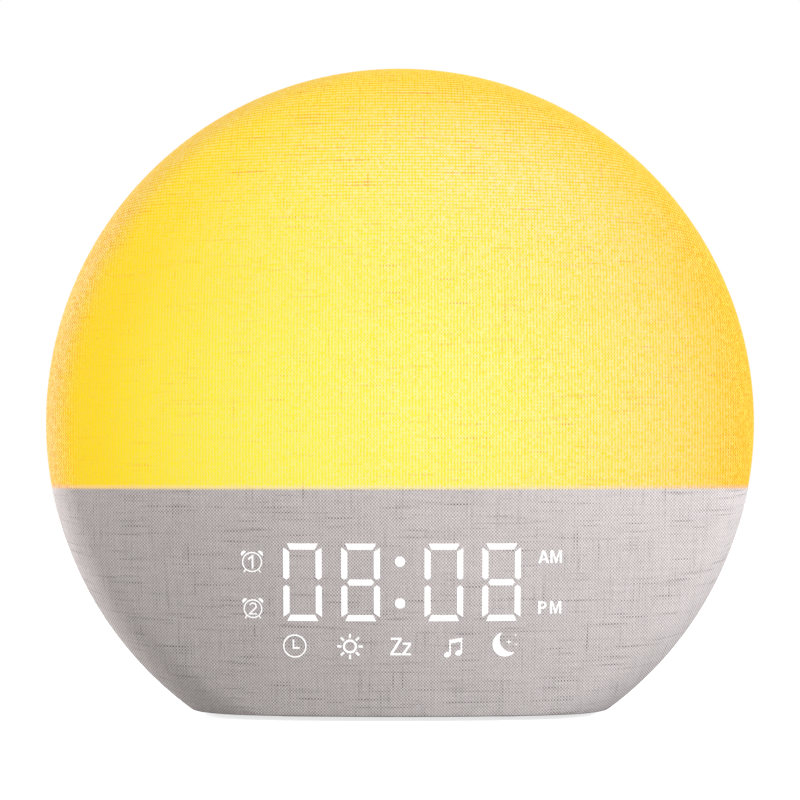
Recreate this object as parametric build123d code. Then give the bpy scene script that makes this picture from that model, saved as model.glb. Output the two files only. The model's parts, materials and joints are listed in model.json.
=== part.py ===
from build123d import *
from math import radians, sqrt, tan
import os

# Sunrise alarm clock, in millimetres.
# X runs across the clock, Y from the fabric face to the back, Z up from the table.

# ---- Outer form ------------------------------------------------------------------------
DISC_RADIUS = 85.0          # fabric skin at its widest rim
BASE_DROP = 69.0            # disc centre above the flat underside
PAD_RISE = 1.2              # the base pad lifts the underside off the table
DISC_Z = PAD_RISE + BASE_DROP
FRONT_RISE = 26.0           # the fabric face domes this far forward of the rim
RIM_ROLL = 14.0             # rounding where the face turns into the rim
RIM_Y = -14.0               # plane of the widest rim
SEAM_Y = -6.0               # back edge of the front shell
SEAM_DRAW = 0.8             # the skin draws in by this from rim to seam
FABRIC = 0.6
TUCK = 0.5                  # fabric folded over the front shell's back edge
LIP_Y = SEAM_Y + TUCK
SHELL_WALL = 2.2
SHELL_INSIDE = FABRIC + SHELL_WALL
FIT = 0.4                   # room between the front shell and what stands behind it
FRONT_Y = RIM_Y - FRONT_RISE

HOUSE_RADIUS = 83.6
HOUSE_WALL = 2.8
HOUSE_BACK = 39.2           # outer face of the back wall
HOUSE_INSIDE = HOUSE_BACK - HOUSE_WALL
HOUSE_DRAW = 5.0            # the side narrows by this towards the back
HOUSE_ROUND = 16.0          # rounding between side and back wall
FLOOR_Z = PAD_RISE + HOUSE_WALL
BEHIND = HOUSE_BACK + 6.0   # cuts that open to the back end out here
TONGUE_RADIUS = 81.1        # ring that locates the housing inside the front shell
TONGUE_BORE = 79.4
TONGUE_Y = -8.4
TONGUE_ROOT_Y = 2.0
PAD_SIZE = (66.0, 43.0)
PAD_Y = 5.5
PAD_CORNER = 9.0

# ---- Lamp ------------------------------------------------------------------------------
SHELF_Z = 54.0              # top of the shelf that parts the lamp from the display
TRAY_WALL = 1.6
TRAY_BACK = 2.6
BOARD = 1.6                 # every circuit board's thickness
TRAY_RIM = 81.2             # outer edge of the reflector bowl
TRAY_FLAT = 62.0            # radius of its flat bottom
TRAY_LIP_Y = -11.6
TRAY_LIP = 1.7
TRAY_BOSS_BACK = 10.0       # the upper case screws' bosses end here
LAMP_BOSS_BACK = 6.5
LAMP_RADIUS = 58.0
LAMP_FLOOR = 57.0           # straight lower edge of the lamp board
LAMP_SCREWS = ((-40.0, 72.0), (40.0, 72.0), (0.0, 114.0))
LAMP_SOCKET = (-20.0, 63.0)
LED_SIZE = 5.0
LED_HEIGHT = 1.4
LED_PITCH = 16.0
LED_ROW = 14.0
LED_FLOOR = 65.0            # lowest row of LEDs
LED_EDGE = 6.0              # bare rim of the lamp board

# ---- Display ---------------------------------------------------------------------------
DIGIT_HEIGHT = 18.0
DIGIT_WIDTH = 9.0
STROKE = 1.5
SEGMENT_GAP = 0.4
DIGIT_Z = 32.6
DIGIT_XS = (-22.3, -9.0, 10.0, 23.2)
COLON_ZS = (37.4, 27.8)
COLON_RADIUS = 1.2
ICON_RADIUS = 3.0
ICON_PLACES = ((-33.9, 37.3), (-33.8, 26.5), (34.4, 38.5), (34.4, 26.8),
               (-24.2, 17.9), (-11.5, 17.9), (0.0, 17.9), (12.2, 17.9), (23.9, 18.3))
MASK_BACK = -22.0
MASK_HALF = 44.0
MASK_FLOOR = 10.0
DISPLAY_HALF = 50.5
DISPLAY_FLOOR = 12.5
DISPLAY_TOP = 45.0
DISPLAY_SCREWS = ((-47.2, 28.0), (47.2, 28.0))
LENS = 1.6
WELL_FIT = 0.06
SMALL_LED = 0.8

# ---- Keys ------------------------------------------------------------------------------
KEY_PROUD = 1.1
KEY_GAP = 0.3
KEY_STEM = 1.6
FLANGE = 1.3                # thickness of the rim that keeps a key inside its opening
FLANGE_REACH = 1.2
FLANGE_PLAY = 0.35          # between a top key's rim and the wall
TOP_KEY_Y = 13.0
TOP_KEY_DEPTH = 12.0
TOP_KEY_CORNER = 2.0
TOP_KEYS = {"light_key": (-35.5, 11.0), "volume_down_key": (-22.0, 11.0),
            "snooze_key": (0.0, 28.0), "volume_up_key": (22.0, 11.0),
            "sound_key": (35.5, 11.0)}
TOP_BOARD_Z = 131.7         # upper face of the key board
TOP_BOARD_HALF = 42.0
TOP_BOARD_SCREWS = ((-29.0, 22.6), (29.0, 22.6))
BACK_KEYS = {"clock_key": -24.0, "alarm_one_key": -8.0,
             "alarm_two_key": 8.0, "sleep_key": 24.0}
BACK_KEY_Z = 118.5
BACK_KEY_RADIUS = 4.5
BACK_KEY_PROUD = 0.8
BACK_KEY_CROWN = 0.3
BACK_BOARD_Y = 30.0         # rear face of the key board
BACK_BOARD_HALF = 35.6
BACK_BOARD_SCREWS = ((-32.8, BACK_KEY_Z), (32.8, BACK_KEY_Z))
SWITCH = 6.0
SWITCH_HEIGHT = 3.5
PLUNGER_RADIUS = 1.7
PLUNGER_OUT = 1.0           # plunger above its switch
PLUNGER_IN = 1.2

# ---- Speaker ---------------------------------------------------------------------------
SPEAKER_Z = 80.0
SPEAKER = (0.0, SPEAKER_Z)
SPEAKER_HALF = 26.0
SPEAKER_SCREW = 21.5        # screws stand this far across and up from the centre
BASKET_BORE = 22.6
CONE_RADIUS = 19.0
CONE_EDGE_Y = 35.1
CONE_WALL = 0.4
COIL_RADIUS = 7.2
GASKET = 0.8
FLANGE_BACK = HOUSE_INSIDE - GASKET
GRILLE_RADIUS = 26.1
GRILLE_DEPTH = 1.4
GRILLE_LEDGE = 3.1          # the grille rests on this much of the wall
GRILLE_HOLE = 1.4
GRILLE_PITCH = 4.6
GRILLE_FIELD = 20.5         # holes stay within this radius

# ---- Boards, inlet and battery ---------------------------------------------------------
MAIN_BOARD_Z = 9.0
MAIN_BOARD_HALF = 34.0
MAIN_BOARD_YS = (0.5, 32.5)
MAIN_SCREWS = ((-31.0, 12.0), (31.0, 12.0), (-29.0, 28.0), (29.0, 28.0))
USB_WIDTH = 8.94
USB_HEIGHT = 3.26
USB_DEPTH = 7.35
USB_WALL = 0.3
USB_MOUTH = HOUSE_BACK - 1.2
INLET_RECESS = (13.0, 7.4)
DOOR_PLACE = (-30.0, 39.0)
DOOR_SIZE = (28.0, 26.0)
DOOR_THICK = 1.6
DOOR_GAP = 0.25
DOOR_SCREW = (DOOR_PLACE[0] - 11.8, DOOR_PLACE[1])
DOOR_TABS = (-6.0, 6.0)     # the tabs' heights from the door's centre
DOOR_TAB = (3.0, 1.3, 4.0)  # their reach, thickness and width
POCKET_FRONT = 32.2
POCKET_FLOOR = 33.6
CELL_RADIUS = 10.0
CELL_THICK = 3.2
CELL_FRONT = 34.2
VENT_PLACE = (30.0, 39.0)
VENT_SLOT = (24.0, 1.8)
VENT_PITCH = 4.2
VENT_COUNT = 5

# ---- Fixings ---------------------------------------------------------------------------
UPPER_SCREWS = ((-45.0, 105.0), (45.0, 105.0))
LOWER_SCREWS = ((-57.0, 46.0), (57.0, 46.0))
TOWER = 4.2
TOWER_FLOOR = 4.0           # plastic under a case screw's head
HEAD_BORE = 3.2
SHANK_BORE = 1.7
PILOT = 1.5
CASE_BITE = 10.0
BOSS = 4.0
SMALL_BOSS = 2.4
SMALL_PILOT = 1.1
SMALL_BITE = 6.0
BOARD_HOLE = 1.3
ROOT = 1.0                  # posts are rooted this far inside the wall

MIDDLE = (Align.CENTER, Align.CENTER, Align.MIN)


# ---- Helpers ---------------------------------------------------------------------------
def above(level):
    """Everything over the height level."""
    return Pos(0, 0, level) * Box(4 * DISC_RADIUS, 4 * DISC_RADIUS, 4 * DISC_RADIUS, align=MIDDLE)


def block(xs, ys, zs):
    """Box between the ranges xs, ys and zs."""
    spans = [(high - low, (high + low) / 2) for low, high in (xs, ys, zs)]
    return Pos(*[mid for _, mid in spans]) * Box(*[span for span, _ in spans])


def rod(radius, front, back, place=(0.0, DISC_Z)):
    """Cylinder along Y at place = (x, z), from y = front to y = back."""
    x, z = place
    return Pos(x, front, z) * Rot(-90, 0, 0) * Cylinder(radius, back - front, align=MIDDLE)


def post(radius, low, high, place):
    """Upright cylinder at place = (x, y)."""
    return Pos(place[0], place[1], low) * Cylinder(radius, high - low, align=MIDDLE)


def plate(sketch, front, back):
    """Upright plate: a sketch in X and Z, from y = front to y = back."""
    return extrude(Plane.XZ.offset(-back) * sketch, back - front)


def turned(outline, centre=(0.0, DISC_Z)):
    """Outline of (radius, y) points or curves, turned about an axis along Y."""
    return Pos(centre[0], 0, centre[1]) * revolve(make_face(outline), Axis.Y)


def ring(points, centre=(0.0, DISC_Z)):
    """Turned solid with straight sides between (radius, y) points."""
    return turned(Polyline(*points, close=True), centre)


def screw(radius, length, head_radius, head_height):
    """Pan-head screw along +Z: its head sits under the origin, its shank above."""
    head = Pos(0, 0, -head_height) * Cylinder(head_radius, head_height, align=MIDDLE)
    head = chamfer(head.edges().sort_by(Axis.Z)[0], head_height * 0.4)
    return head + Cylinder(radius, length, align=MIDDLE)


# ---- Outer forms that the shells share -------------------------------------------------
def cup(inset, back):
    """Front form drawn in by inset all round and closed at y = back."""
    rim, front = DISC_RADIUS - inset, RIM_Y - FRONT_RISE + inset
    roll_centre = Vector(DISC_RADIUS - RIM_ROLL, RIM_Y)
    face_radius = (roll_centre.X ** 2 + FRONT_RISE ** 2 - RIM_ROLL ** 2) / (2 * (FRONT_RISE - RIM_ROLL))
    face_centre = Vector(0, RIM_Y - FRONT_RISE + face_radius)
    joint = roll_centre + (roll_centre - face_centre).normalized() * (RIM_ROLL - inset)
    side_radius = ((SEAM_Y - RIM_Y) ** 2 + SEAM_DRAW ** 2) / (2 * SEAM_DRAW)
    tail = DISC_RADIUS - side_radius + sqrt((side_radius - inset) ** 2 - (back - RIM_Y) ** 2)
    face = TangentArc((0, front), joint, tangent=(1, 0))
    roll = TangentArc((rim, RIM_Y), joint, tangent=(0, -1))
    side = TangentArc((rim, RIM_Y), (tail, back), tangent=(0, 1))
    close = Polyline((tail, back), (0, back), (0, front))
    return turned(face + roll + side + close) & above(PAD_RISE + inset)


def house(inset):
    """Back form drawn in by inset all round, from the seam to the back wall."""
    side = HOUSE_RADIUS - inset
    tail = side - HOUSE_DRAW
    back = HOUSE_BACK - inset
    curve = TangentArc((side, LIP_Y), (tail, back), tangent=(0, 1))
    close = Polyline((tail, back), (0, back), (0, LIP_Y), (side, LIP_Y))
    face = make_face(curve + close)
    corner = face.vertices().sort_by_distance((tail, back, 0))[0]
    face = fillet(corner, HOUSE_ROUND - inset)
    return Pos(0, 0, DISC_Z) * revolve(face, Axis.Y) & above(PAD_RISE + inset)


# ---- Front half ------------------------------------------------------------------------
def fabric_cover():
    """Woven skin over the whole front, folded over the shell's back edge."""
    skin = cup(0, SEAM_Y) - cup(FABRIC, SEAM_Y)
    edge = block((-DISC_RADIUS, DISC_RADIUS), (SEAM_Y, LIP_Y), (0, 2 * DISC_RADIUS))
    return skin + ((cup(0, LIP_Y) - cup(SHELL_INSIDE, 0.0)) & edge)


def front_shell():
    """Milky cup behind the fabric, its screw posts left standing in the hollow."""
    room = cup(SHELL_INSIDE, 0.0)
    for place in LOWER_SCREWS:
        room -= rod(BOSS, FRONT_Y, SEAM_Y, place) - rod(PILOT, SEAM_Y - CASE_BITE, SEAM_Y, place)
    for place in DISPLAY_SCREWS:
        bore = rod(SMALL_PILOT, MASK_BACK - SMALL_BITE + ROOT, MASK_BACK, place)
        room -= rod(SMALL_BOSS, FRONT_Y, MASK_BACK, place) - bore
    return cup(FABRIC, SEAM_Y) - room


def light_tray():
    """White reflector bowl with the shelf that closes the lamp's lower side."""
    front, lip_back = TRAY_BACK - TRAY_WALL, TRAY_LIP_Y + TRAY_LIP
    outside = [(TRAY_RIM, lip_back), (TRAY_FLAT + 0.6, TRAY_BACK), (0, TRAY_BACK)]
    bowl = ring([(0, front), (TRAY_FLAT, front), (TRAY_RIM, TRAY_LIP_Y)] + outside)
    filled = ring([(0, TRAY_LIP_Y), (TRAY_RIM, TRAY_LIP_Y)] + outside)
    shelf = (cup(SHELL_INSIDE + FIT, lip_back) + filled) & above(SHELF_Z - TRAY_WALL)
    tray = (bowl & above(SHELF_Z - TRAY_WALL)) + (shelf - above(SHELF_Z))
    for place in UPPER_SCREWS:
        tray += rod(BOSS, TRAY_BACK - 0.5, TRAY_BOSS_BACK, place)
        tray -= rod(PILOT, TRAY_BACK, TRAY_BOSS_BACK, place)
    for place in LAMP_SCREWS:
        tray += rod(BOSS - 1.0, TRAY_BACK - 0.5, LAMP_BOSS_BACK, place)
        tray -= rod(SMALL_PILOT, front, LAMP_BOSS_BACK, place)
    return tray - lamp_socket(1.5, 0.0, 4.0)


def lamp_socket(grow, front, back):
    """Box of the lamp board's wire socket, widened by grow all round."""
    x, z = LAMP_SOCKET
    half_x, half_z = 4.0 + grow, 3.0 + grow
    return block((x - half_x, x + half_x), (front, back), (z - half_z, z + half_z))


def lamp_board():
    """Metal-core board, round with a straight lower edge, and its wire socket."""
    back = TRAY_BACK - TRAY_WALL
    board = rod(LAMP_RADIUS, back - BOARD, back) & above(LAMP_FLOOR)
    for place in LAMP_SCREWS:
        board -= rod(BOARD_HOLE, back - BOARD, back, place)
    return board + lamp_socket(0.0, back - 0.1, back + 5.4)


def lamp_leds():
    """Rows of square LEDs across the lamp board's front, every second row shifted by half a pitch."""
    front = TRAY_BACK - TRAY_WALL - BOARD
    half = LED_SIZE / 2
    leds = []
    for row in range(5):
        z = LED_FLOOR + row * LED_ROW
        for column in range(-3, 4):
            x = (column + 0.5 * (row % 2)) * LED_PITCH
            if x * x + (z - DISC_Z) ** 2 < (LAMP_RADIUS - LED_EDGE) ** 2:
                leds.append(block((x - half, x + half), (front - LED_HEIGHT, front), (z - half, z + half)))
    return Compound(leds)


# ---- Display ---------------------------------------------------------------------------
def segment_outlines():
    """Outlines of the seven bars of one digit about its own centre."""
    half_w, half_h = DIGIT_WIDTH / 2, DIGIT_HEIGHT / 2
    mitre = STROKE * 0.55
    shoulder = half_w - 0.95
    bar = [(-shoulder, half_h), (shoulder, half_h),
           (shoulder - mitre, half_h - STROKE), (mitre - shoulder, half_h - STROKE)]
    top, foot = half_h - 0.9, STROKE / 2 + SEGMENT_GAP
    side = [(-half_w, top), (STROKE - half_w, top - 1.05), (STROKE - half_w, foot),
            (STROKE / 2 - half_w, SEGMENT_GAP * 1.4), (-half_w, foot)]
    tip, flat = half_w - STROKE, half_w - STROKE - 0.5
    middle = [(-tip, 0), (-flat, STROKE / 2), (flat, STROKE / 2),
              (tip, 0), (flat, -STROKE / 2), (-flat, -STROKE / 2)]
    flip_x = [(-x, z) for x, z in side]
    return [bar, [(x, -z) for x, z in bar], middle, side, flip_x,
            [(x, -z) for x, z in side], [(x, -z) for x, z in flip_x]]


def display_windows(grow=0.0):
    """Four digits and the colon as a sketch, each window widened by grow all round."""
    digit = Sketch() + [make_face(Polyline(*points, close=True)) for points in segment_outlines()]
    if grow:
        digit = Sketch() + [offset(face, grow, kind=Kind.INTERSECTION) for face in digit.faces()]
    windows = Sketch() + [Pos(x, DIGIT_Z) * digit for x in DIGIT_XS]
    return windows + [Pos(0, z) * Circle(COLON_RADIUS + grow) for z in COLON_ZS]


def icon_windows(grow=0.0):
    """Round windows behind the signs beside and below the digits."""
    return Sketch() + [Pos(*place) * Circle(ICON_RADIUS + grow) for place in ICON_PLACES]


def lens_layer():
    """The layer just behind the front shell that the lenses fill."""
    inset = SHELL_INSIDE + FIT
    return cup(inset, SEAM_Y) - cup(inset + LENS, SEAM_Y)


def display_mask():
    """Moulded block whose front follows the dome, with a light well behind every window."""
    room = block((-MASK_HALF, MASK_HALF), (FRONT_Y, MASK_BACK), (MASK_FLOOR, DISPLAY_TOP))
    wells = display_windows(WELL_FIT) + icon_windows(WELL_FIT)
    return (cup(SHELL_INSIDE + FIT, SEAM_Y) & room) - plate(wells, FRONT_Y, MASK_BACK)


def segment_lenses():
    """Clear bars that fill the digits' windows and carry the light to the front."""
    return plate(display_windows(), FRONT_Y, MASK_BACK) & lens_layer()


def icon_lenses():
    """Clear discs that fill the sign windows."""
    return plate(icon_windows(), FRONT_Y, MASK_BACK) & lens_layer()


def display_board():
    """Upright board behind the mask, with its wire socket at the back."""
    back = MASK_BACK + BOARD
    board = block((-DISPLAY_HALF, DISPLAY_HALF), (MASK_BACK, back), (DISPLAY_FLOOR, DISPLAY_TOP))
    for place in DISPLAY_SCREWS:
        board -= rod(BOARD_HOLE, MASK_BACK, back, place)
    return board + block((2.0, 9.0), (back - 0.1, back + 4.4), (27.5, 32.5))


def display_leds():
    """One small LED in every light well."""
    half_w, half_h = DIGIT_WIDTH / 2 - STROKE / 2, DIGIT_HEIGHT / 2 - STROKE / 2
    places = []
    for x in DIGIT_XS:
        places += [(x, DIGIT_Z + side * half_h) for side in (-1, 0, 1)]
        places += [(x + side * half_w, DIGIT_Z + end * half_h / 2) for side in (-1, 1) for end in (-1, 1)]
    places += [(0, z) for z in COLON_ZS]
    places += list(ICON_PLACES)
    half = SMALL_LED / 2
    return Compound([block((x - half, x + half), (MASK_BACK - 0.6, MASK_BACK), (z - half, z + half))
                     for x, z in places])


# ---- Rear housing ----------------------------------------------------------------------
def key_prism(x, width, depth, corner):
    """Upright prism over a top key's place."""
    outline = Pos(x, TOP_KEY_Y) * RectangleRounded(width, depth, corner)
    return Pos(0, 0, TOP_BOARD_Z) * extrude(outline, DISC_RADIUS / 2)


def tongue():
    """Locating ring that enters the front shell, rooted in the housing's wall."""
    hollow = rod(TONGUE_BORE, TONGUE_Y, TONGUE_ROOT_Y) & above(FLOOR_Z + 2.0)
    lip = rod(TONGUE_RADIUS, TONGUE_Y, TONGUE_ROOT_Y) & above(FLOOR_Z + 0.3)
    root = rod(HOUSE_RADIUS - 1.6, LIP_Y, TONGUE_ROOT_Y) & above(FLOOR_Z - ROOT)
    return lip + root - hollow


def case_towers():
    """(place, front end) of the towers that the case screws pass through."""
    upper = [(place, TRAY_BOSS_BACK + FIT) for place in UPPER_SCREWS]
    return upper + [(place, LIP_Y) for place in LOWER_SCREWS]


def housing_posts():
    """Every post inside the housing, each with the bore through it."""
    within = house(ROOT)
    root = HOUSE_INSIDE + ROOT
    for place, front in case_towers():
        bore = rod(HEAD_BORE, front + TOWER_FLOOR, BEHIND, place)
        yield rod(TOWER, front, root, place), bore + rod(SHANK_BORE, front, front + TOWER_FLOOR, place)
    for place in MAIN_SCREWS:
        bore = post(SMALL_PILOT, FLOOR_Z, MAIN_BOARD_Z, place)
        yield post(3.0, FLOOR_Z - ROOT, MAIN_BOARD_Z, place) & within, bore
    for place in TOP_BOARD_SCREWS:
        bore = post(SMALL_PILOT, TOP_BOARD_Z, TOP_BOARD_Z + SMALL_BITE, place)
        yield post(SMALL_BOSS, TOP_BOARD_Z, 2 * DISC_RADIUS, place) & within, bore
    for place in BACK_BOARD_SCREWS:
        yield rod(SMALL_BOSS, BACK_BOARD_Y, root, place), rod(SMALL_PILOT, BACK_BOARD_Y, root - ROOT, place)
    for place in speaker_screw_places():
        bore = rod(SMALL_PILOT, FLANGE_BACK, HOUSE_BACK - ROOT, place)
        yield rod(SMALL_BOSS, FLANGE_BACK, root, place), bore


def door_centred(half_x, half_z, front, back):
    """Box about the battery door's centre."""
    x, z = DOOR_PLACE
    return block((x - half_x, x + half_x), (front, back), (z - half_z, z + half_z))


def door_tabs(gap):
    """Tabs that hook the door's edge under the wall, widened by gap all round."""
    edge, z = DOOR_PLACE[0] + DOOR_SIZE[0] / 2, DOOR_PLACE[1]
    reach, thick, width = DOOR_TAB
    seat = HOUSE_BACK - DOOR_THICK
    ys = (seat - thick - gap, seat + gap)
    half = width / 2 + gap
    return [block((edge - 1.8 - gap, edge - 1.8 + reach + gap), ys, (z + height - half, z + height + half))
            for height in DOOR_TABS]


def pocket_walls():
    """Block that the battery pocket is cut into."""
    return door_centred(DOOR_SIZE[0] / 2 - 0.2, DOOR_SIZE[1] / 2 - 0.2, POCKET_FRONT, HOUSE_INSIDE + 0.5)


def pocket_room():
    """Room for the door, its tabs and screw, and for the cell under it."""
    half_x, half_z = DOOR_SIZE[0] / 2, DOOR_SIZE[1] / 2
    x, z = DOOR_PLACE
    ledge = 1.8
    xs, zs = (x - 9.4, x + half_x - ledge), (z - half_z + ledge, z + half_z - ledge)
    room = door_centred(half_x + DOOR_GAP, half_z + DOOR_GAP, HOUSE_BACK - DOOR_THICK, BEHIND)
    room += block(xs, (POCKET_FLOOR, BEHIND), zs)
    room += rod(SMALL_PILOT, POCKET_FLOOR, HOUSE_BACK, DOOR_SCREW)
    return room + door_tabs(DOOR_GAP)


def key_openings():
    """Openings in the rim and the back wall that the keys stand in."""
    grow = 2 * KEY_GAP
    top = [key_prism(x, width + grow, TOP_KEY_DEPTH + grow, TOP_KEY_CORNER + KEY_GAP)
           for x, width in TOP_KEYS.values()]
    back = [rod(BACK_KEY_RADIUS + KEY_GAP, HOUSE_INSIDE - ROOT, BEHIND, (x, BACK_KEY_Z))
            for x in BACK_KEYS.values()]
    return top + back


def back_openings():
    """Openings in the back wall for the speaker, the power socket and air."""
    inside = HOUSE_INSIDE - ROOT
    inlet = Pos(0, usb_z())
    slots = [Pos(*VENT_PLACE) * spot * SlotOverall(*VENT_SLOT)
             for spot in GridLocations(0, VENT_PITCH, 1, VENT_COUNT)]
    return [rod(GRILLE_RADIUS + KEY_GAP, HOUSE_BACK - GRILLE_DEPTH, BEHIND, SPEAKER),
            rod(GRILLE_RADIUS - GRILLE_LEDGE, inside, BEHIND, SPEAKER),
            plate(inlet * RectangleRounded(USB_WIDTH + 0.6, USB_HEIGHT + 0.6, 1.9), inside, BEHIND),
            plate(inlet * RectangleRounded(*INLET_RECESS, 3.4), USB_MOUTH, BEHIND),
            plate(Sketch() + slots, inside, BEHIND)]


def rear_housing():
    """Moulded back half: its wall and tongue, what stands up inside and what is cut into it."""
    shell = house(0) - house(HOUSE_WALL) + tongue()
    for solid, bore in housing_posts():
        shell = shell + solid - bore
    return shell + pocket_walls() - pocket_room() - key_openings() - back_openings()


# ---- Keys, switches and their boards ---------------------------------------------------
def top_key(x, width):
    """Cap that follows the rim, a flange under the wall and a stem down to the switch."""
    under = HOUSE_WALL + FLANGE_PLAY
    cap = key_prism(x, width, TOP_KEY_DEPTH, TOP_KEY_CORNER)
    cap &= house(-KEY_PROUD) - house(HOUSE_WALL + FLANGE)
    wide = key_prism(x, width + 2 * FLANGE_REACH, TOP_KEY_DEPTH + 2, TOP_KEY_CORNER + 0.6)
    flange = wide & (house(under) - house(under + FLANGE))
    foot = TOP_BOARD_Z + SWITCH_HEIGHT + PLUNGER_OUT
    stem = post(KEY_STEM, foot, 2 * DISC_RADIUS, (x, TOP_KEY_Y)) & house(HOUSE_WALL + 0.6)
    return cap + flange + stem


def back_key(x):
    """Round crowned cap with a flange behind the wall and a short stem."""
    face = HOUSE_BACK + BACK_KEY_PROUD
    flange_back = HOUSE_INSIDE - 0.3
    flange_front = flange_back - 1.1
    wide = BACK_KEY_RADIUS + FLANGE_REACH
    stem_end = BACK_BOARD_Y + SWITCH_HEIGHT + PLUNGER_OUT
    return ring([(0, stem_end), (KEY_STEM, stem_end), (KEY_STEM, flange_front), (wide, flange_front),
                 (wide, flange_back), (BACK_KEY_RADIUS, flange_back), (BACK_KEY_RADIUS, face - 0.6),
                 (BACK_KEY_RADIUS - 0.6, face - BACK_KEY_CROWN / 2), (BACK_KEY_RADIUS - 1.6, face),
                 (0, face)], (x, BACK_KEY_Z))


def switch():
    """Tact switch body on the origin, with the round well that its plunger slides in."""
    body = Pos(0, 0, SWITCH_HEIGHT / 2) * Box(SWITCH, SWITCH, SWITCH_HEIGHT)
    body = chamfer(body.edges().group_by(Axis.Z)[-1], 0.4)
    return body - Pos(0, 0, 1.5) * Cylinder(PLUNGER_RADIUS + 0.3, SWITCH_HEIGHT, align=MIDDLE)


def plunger():
    """Switch plunger, out at rest."""
    foot = SWITCH_HEIGHT - PLUNGER_IN
    return Pos(0, 0, foot) * Cylinder(PLUNGER_RADIUS, PLUNGER_IN + PLUNGER_OUT, align=MIDDLE)


def top_switch_seats():
    """Where each top key's switch stands, by key name."""
    return {name: Pos(x, TOP_KEY_Y, TOP_BOARD_Z) for name, (x, _) in TOP_KEYS.items()}


def back_switch_seats():
    """Where each back key's switch stands, by key name."""
    return {name: Pos(x, BACK_BOARD_Y, BACK_KEY_Z) * Rot(-90, 0, 0) for name, x in BACK_KEYS.items()}


def top_key_board():
    """Level board under the top keys, with a wire socket below."""
    under = TOP_BOARD_Z - BOARD
    board = block((-TOP_BOARD_HALF, TOP_BOARD_HALF), (5.0, 25.0), (under, TOP_BOARD_Z))
    for place in TOP_BOARD_SCREWS:
        board -= post(BOARD_HOLE, under, TOP_BOARD_Z, place)
    return board + block((24.0, 32.0), (9.5, 14.5), (under - 4.5, under + 0.1))


def back_key_board():
    """Upright board behind the back keys, with a wire socket in front."""
    front, half_z = BACK_BOARD_Y - BOARD, 6.0
    board = block((-BACK_BOARD_HALF, BACK_BOARD_HALF), (front, BACK_BOARD_Y),
                  (BACK_KEY_Z - half_z, BACK_KEY_Z + half_z))
    for place in BACK_BOARD_SCREWS:
        board -= rod(BOARD_HOLE, front, BACK_BOARD_Y, place)
    return board + block((12.0, 20.0), (front - 4.8, front + 0.1), (113.5, 119.5))


# ---- Speaker ---------------------------------------------------------------------------
def speaker_screw_places():
    """Corners of the speaker's flange."""
    offsets = (-SPEAKER_SCREW, SPEAKER_SCREW)
    return [(x, SPEAKER_Z + z) for x in offsets for z in offsets]


def speaker_grille():
    """Disc with a hexagonal field of holes that closes the speaker's opening flush with the back."""
    disc = rod(GRILLE_RADIUS, HOUSE_BACK - GRILLE_DEPTH, HOUSE_BACK, SPEAKER)
    holes = []
    for row in range(-5, 6):
        for column in range(-5, 6):
            x = (column + 0.5 * (row % 2)) * GRILLE_PITCH
            z = row * GRILLE_PITCH * sqrt(3) / 2
            if x * x + z * z < GRILLE_FIELD ** 2:
                holes.append(Pos(x, SPEAKER_Z + z) * Circle(GRILLE_HOLE))
    return disc - plate(Sketch() + holes, HOUSE_INSIDE, BEHIND)


def speaker_gasket():
    """Foam ring between the speaker and the back wall."""
    foam = rod(SPEAKER_HALF - 0.2, FLANGE_BACK, HOUSE_INSIDE, SPEAKER)
    return foam - rod(GRILLE_RADIUS - GRILLE_LEDGE + 0.2, FLANGE_BACK, HOUSE_INSIDE, SPEAKER)


def speaker_basket():
    """Pressed frame: square flange, open cone of ribs and the seat for the magnet."""
    flange_front = FLANGE_BACK - 1.2
    outline = Pos(*SPEAKER) * RectangleRounded(2 * SPEAKER_HALF, 2 * SPEAKER_HALF, 6)
    flange = plate(outline, flange_front, FLANGE_BACK) - rod(BASKET_BORE, flange_front, FLANGE_BACK, SPEAKER)
    for place in speaker_screw_places():
        flange -= rod(BOARD_HOLE, flange_front, FLANGE_BACK, place)
    rim, foot, seat, sheet = 24.0, 17.0, 24.0, 1.2
    cone = ring([(BASKET_BORE, flange_front), (rim, flange_front), (rim, flange_front + 0.4),
                 (BASKET_BORE, flange_front + 0.4)], SPEAKER)
    cone += ring([(rim - sheet, flange_front + 0.1), (rim, flange_front + 0.1), (foot, seat + sheet),
                  (foot, seat), (8.6, seat), (8.6, seat + sheet), (foot - 1.4, seat + sheet)], SPEAKER)
    window = Pos(0, 0, 19.5) * Box(9.0, 5.5, 10.0)
    for turn in range(6):
        cone -= Pos(0, seat + 5.6, SPEAKER_Z) * Rot(0, turn * 60 + 30, 0) * window
    return flange + cone


def speaker_magnet():
    """Magnet stack: back plate, ring and front plate, with the pole in the middle."""
    return ring([(0, 14.0), (14.0, 14.0), (14.0, 16.0), (16.0, 16.0), (16.0, 22.0), (14.5, 22.0),
                 (14.5, 24.0), (7.6, 24.0), (7.6, 17.0), (6.4, 17.0), (6.4, 25.0), (0, 25.0)], SPEAKER)


def speaker_cone():
    """Paper cone with its dust cap and the coil former that reaches into the magnet."""
    bore, cap_rim = COIL_RADIUS - CONE_WALL, COIL_RADIUS + 1.0
    crown, shoulder, coil_end = 31.2, 28.95, 20.5
    cap_top = TangentArc((0, crown), (cap_rim, shoulder), tangent=(1, 0))
    cap_under = TangentArc((0, crown - CONE_WALL), (bore, shoulder), tangent=(1, 0))
    coil = Polyline((bore, shoulder), (bore, coil_end), (COIL_RADIUS, coil_end), (COIL_RADIUS, 28.0),
                    (CONE_RADIUS, CONE_EDGE_Y - 0.5), (CONE_RADIUS, CONE_EDGE_Y), (cap_rim, shoulder))
    return turned(cap_top + Line((0, crown), (0, crown - CONE_WALL)) + cap_under + coil, SPEAKER)


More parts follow.
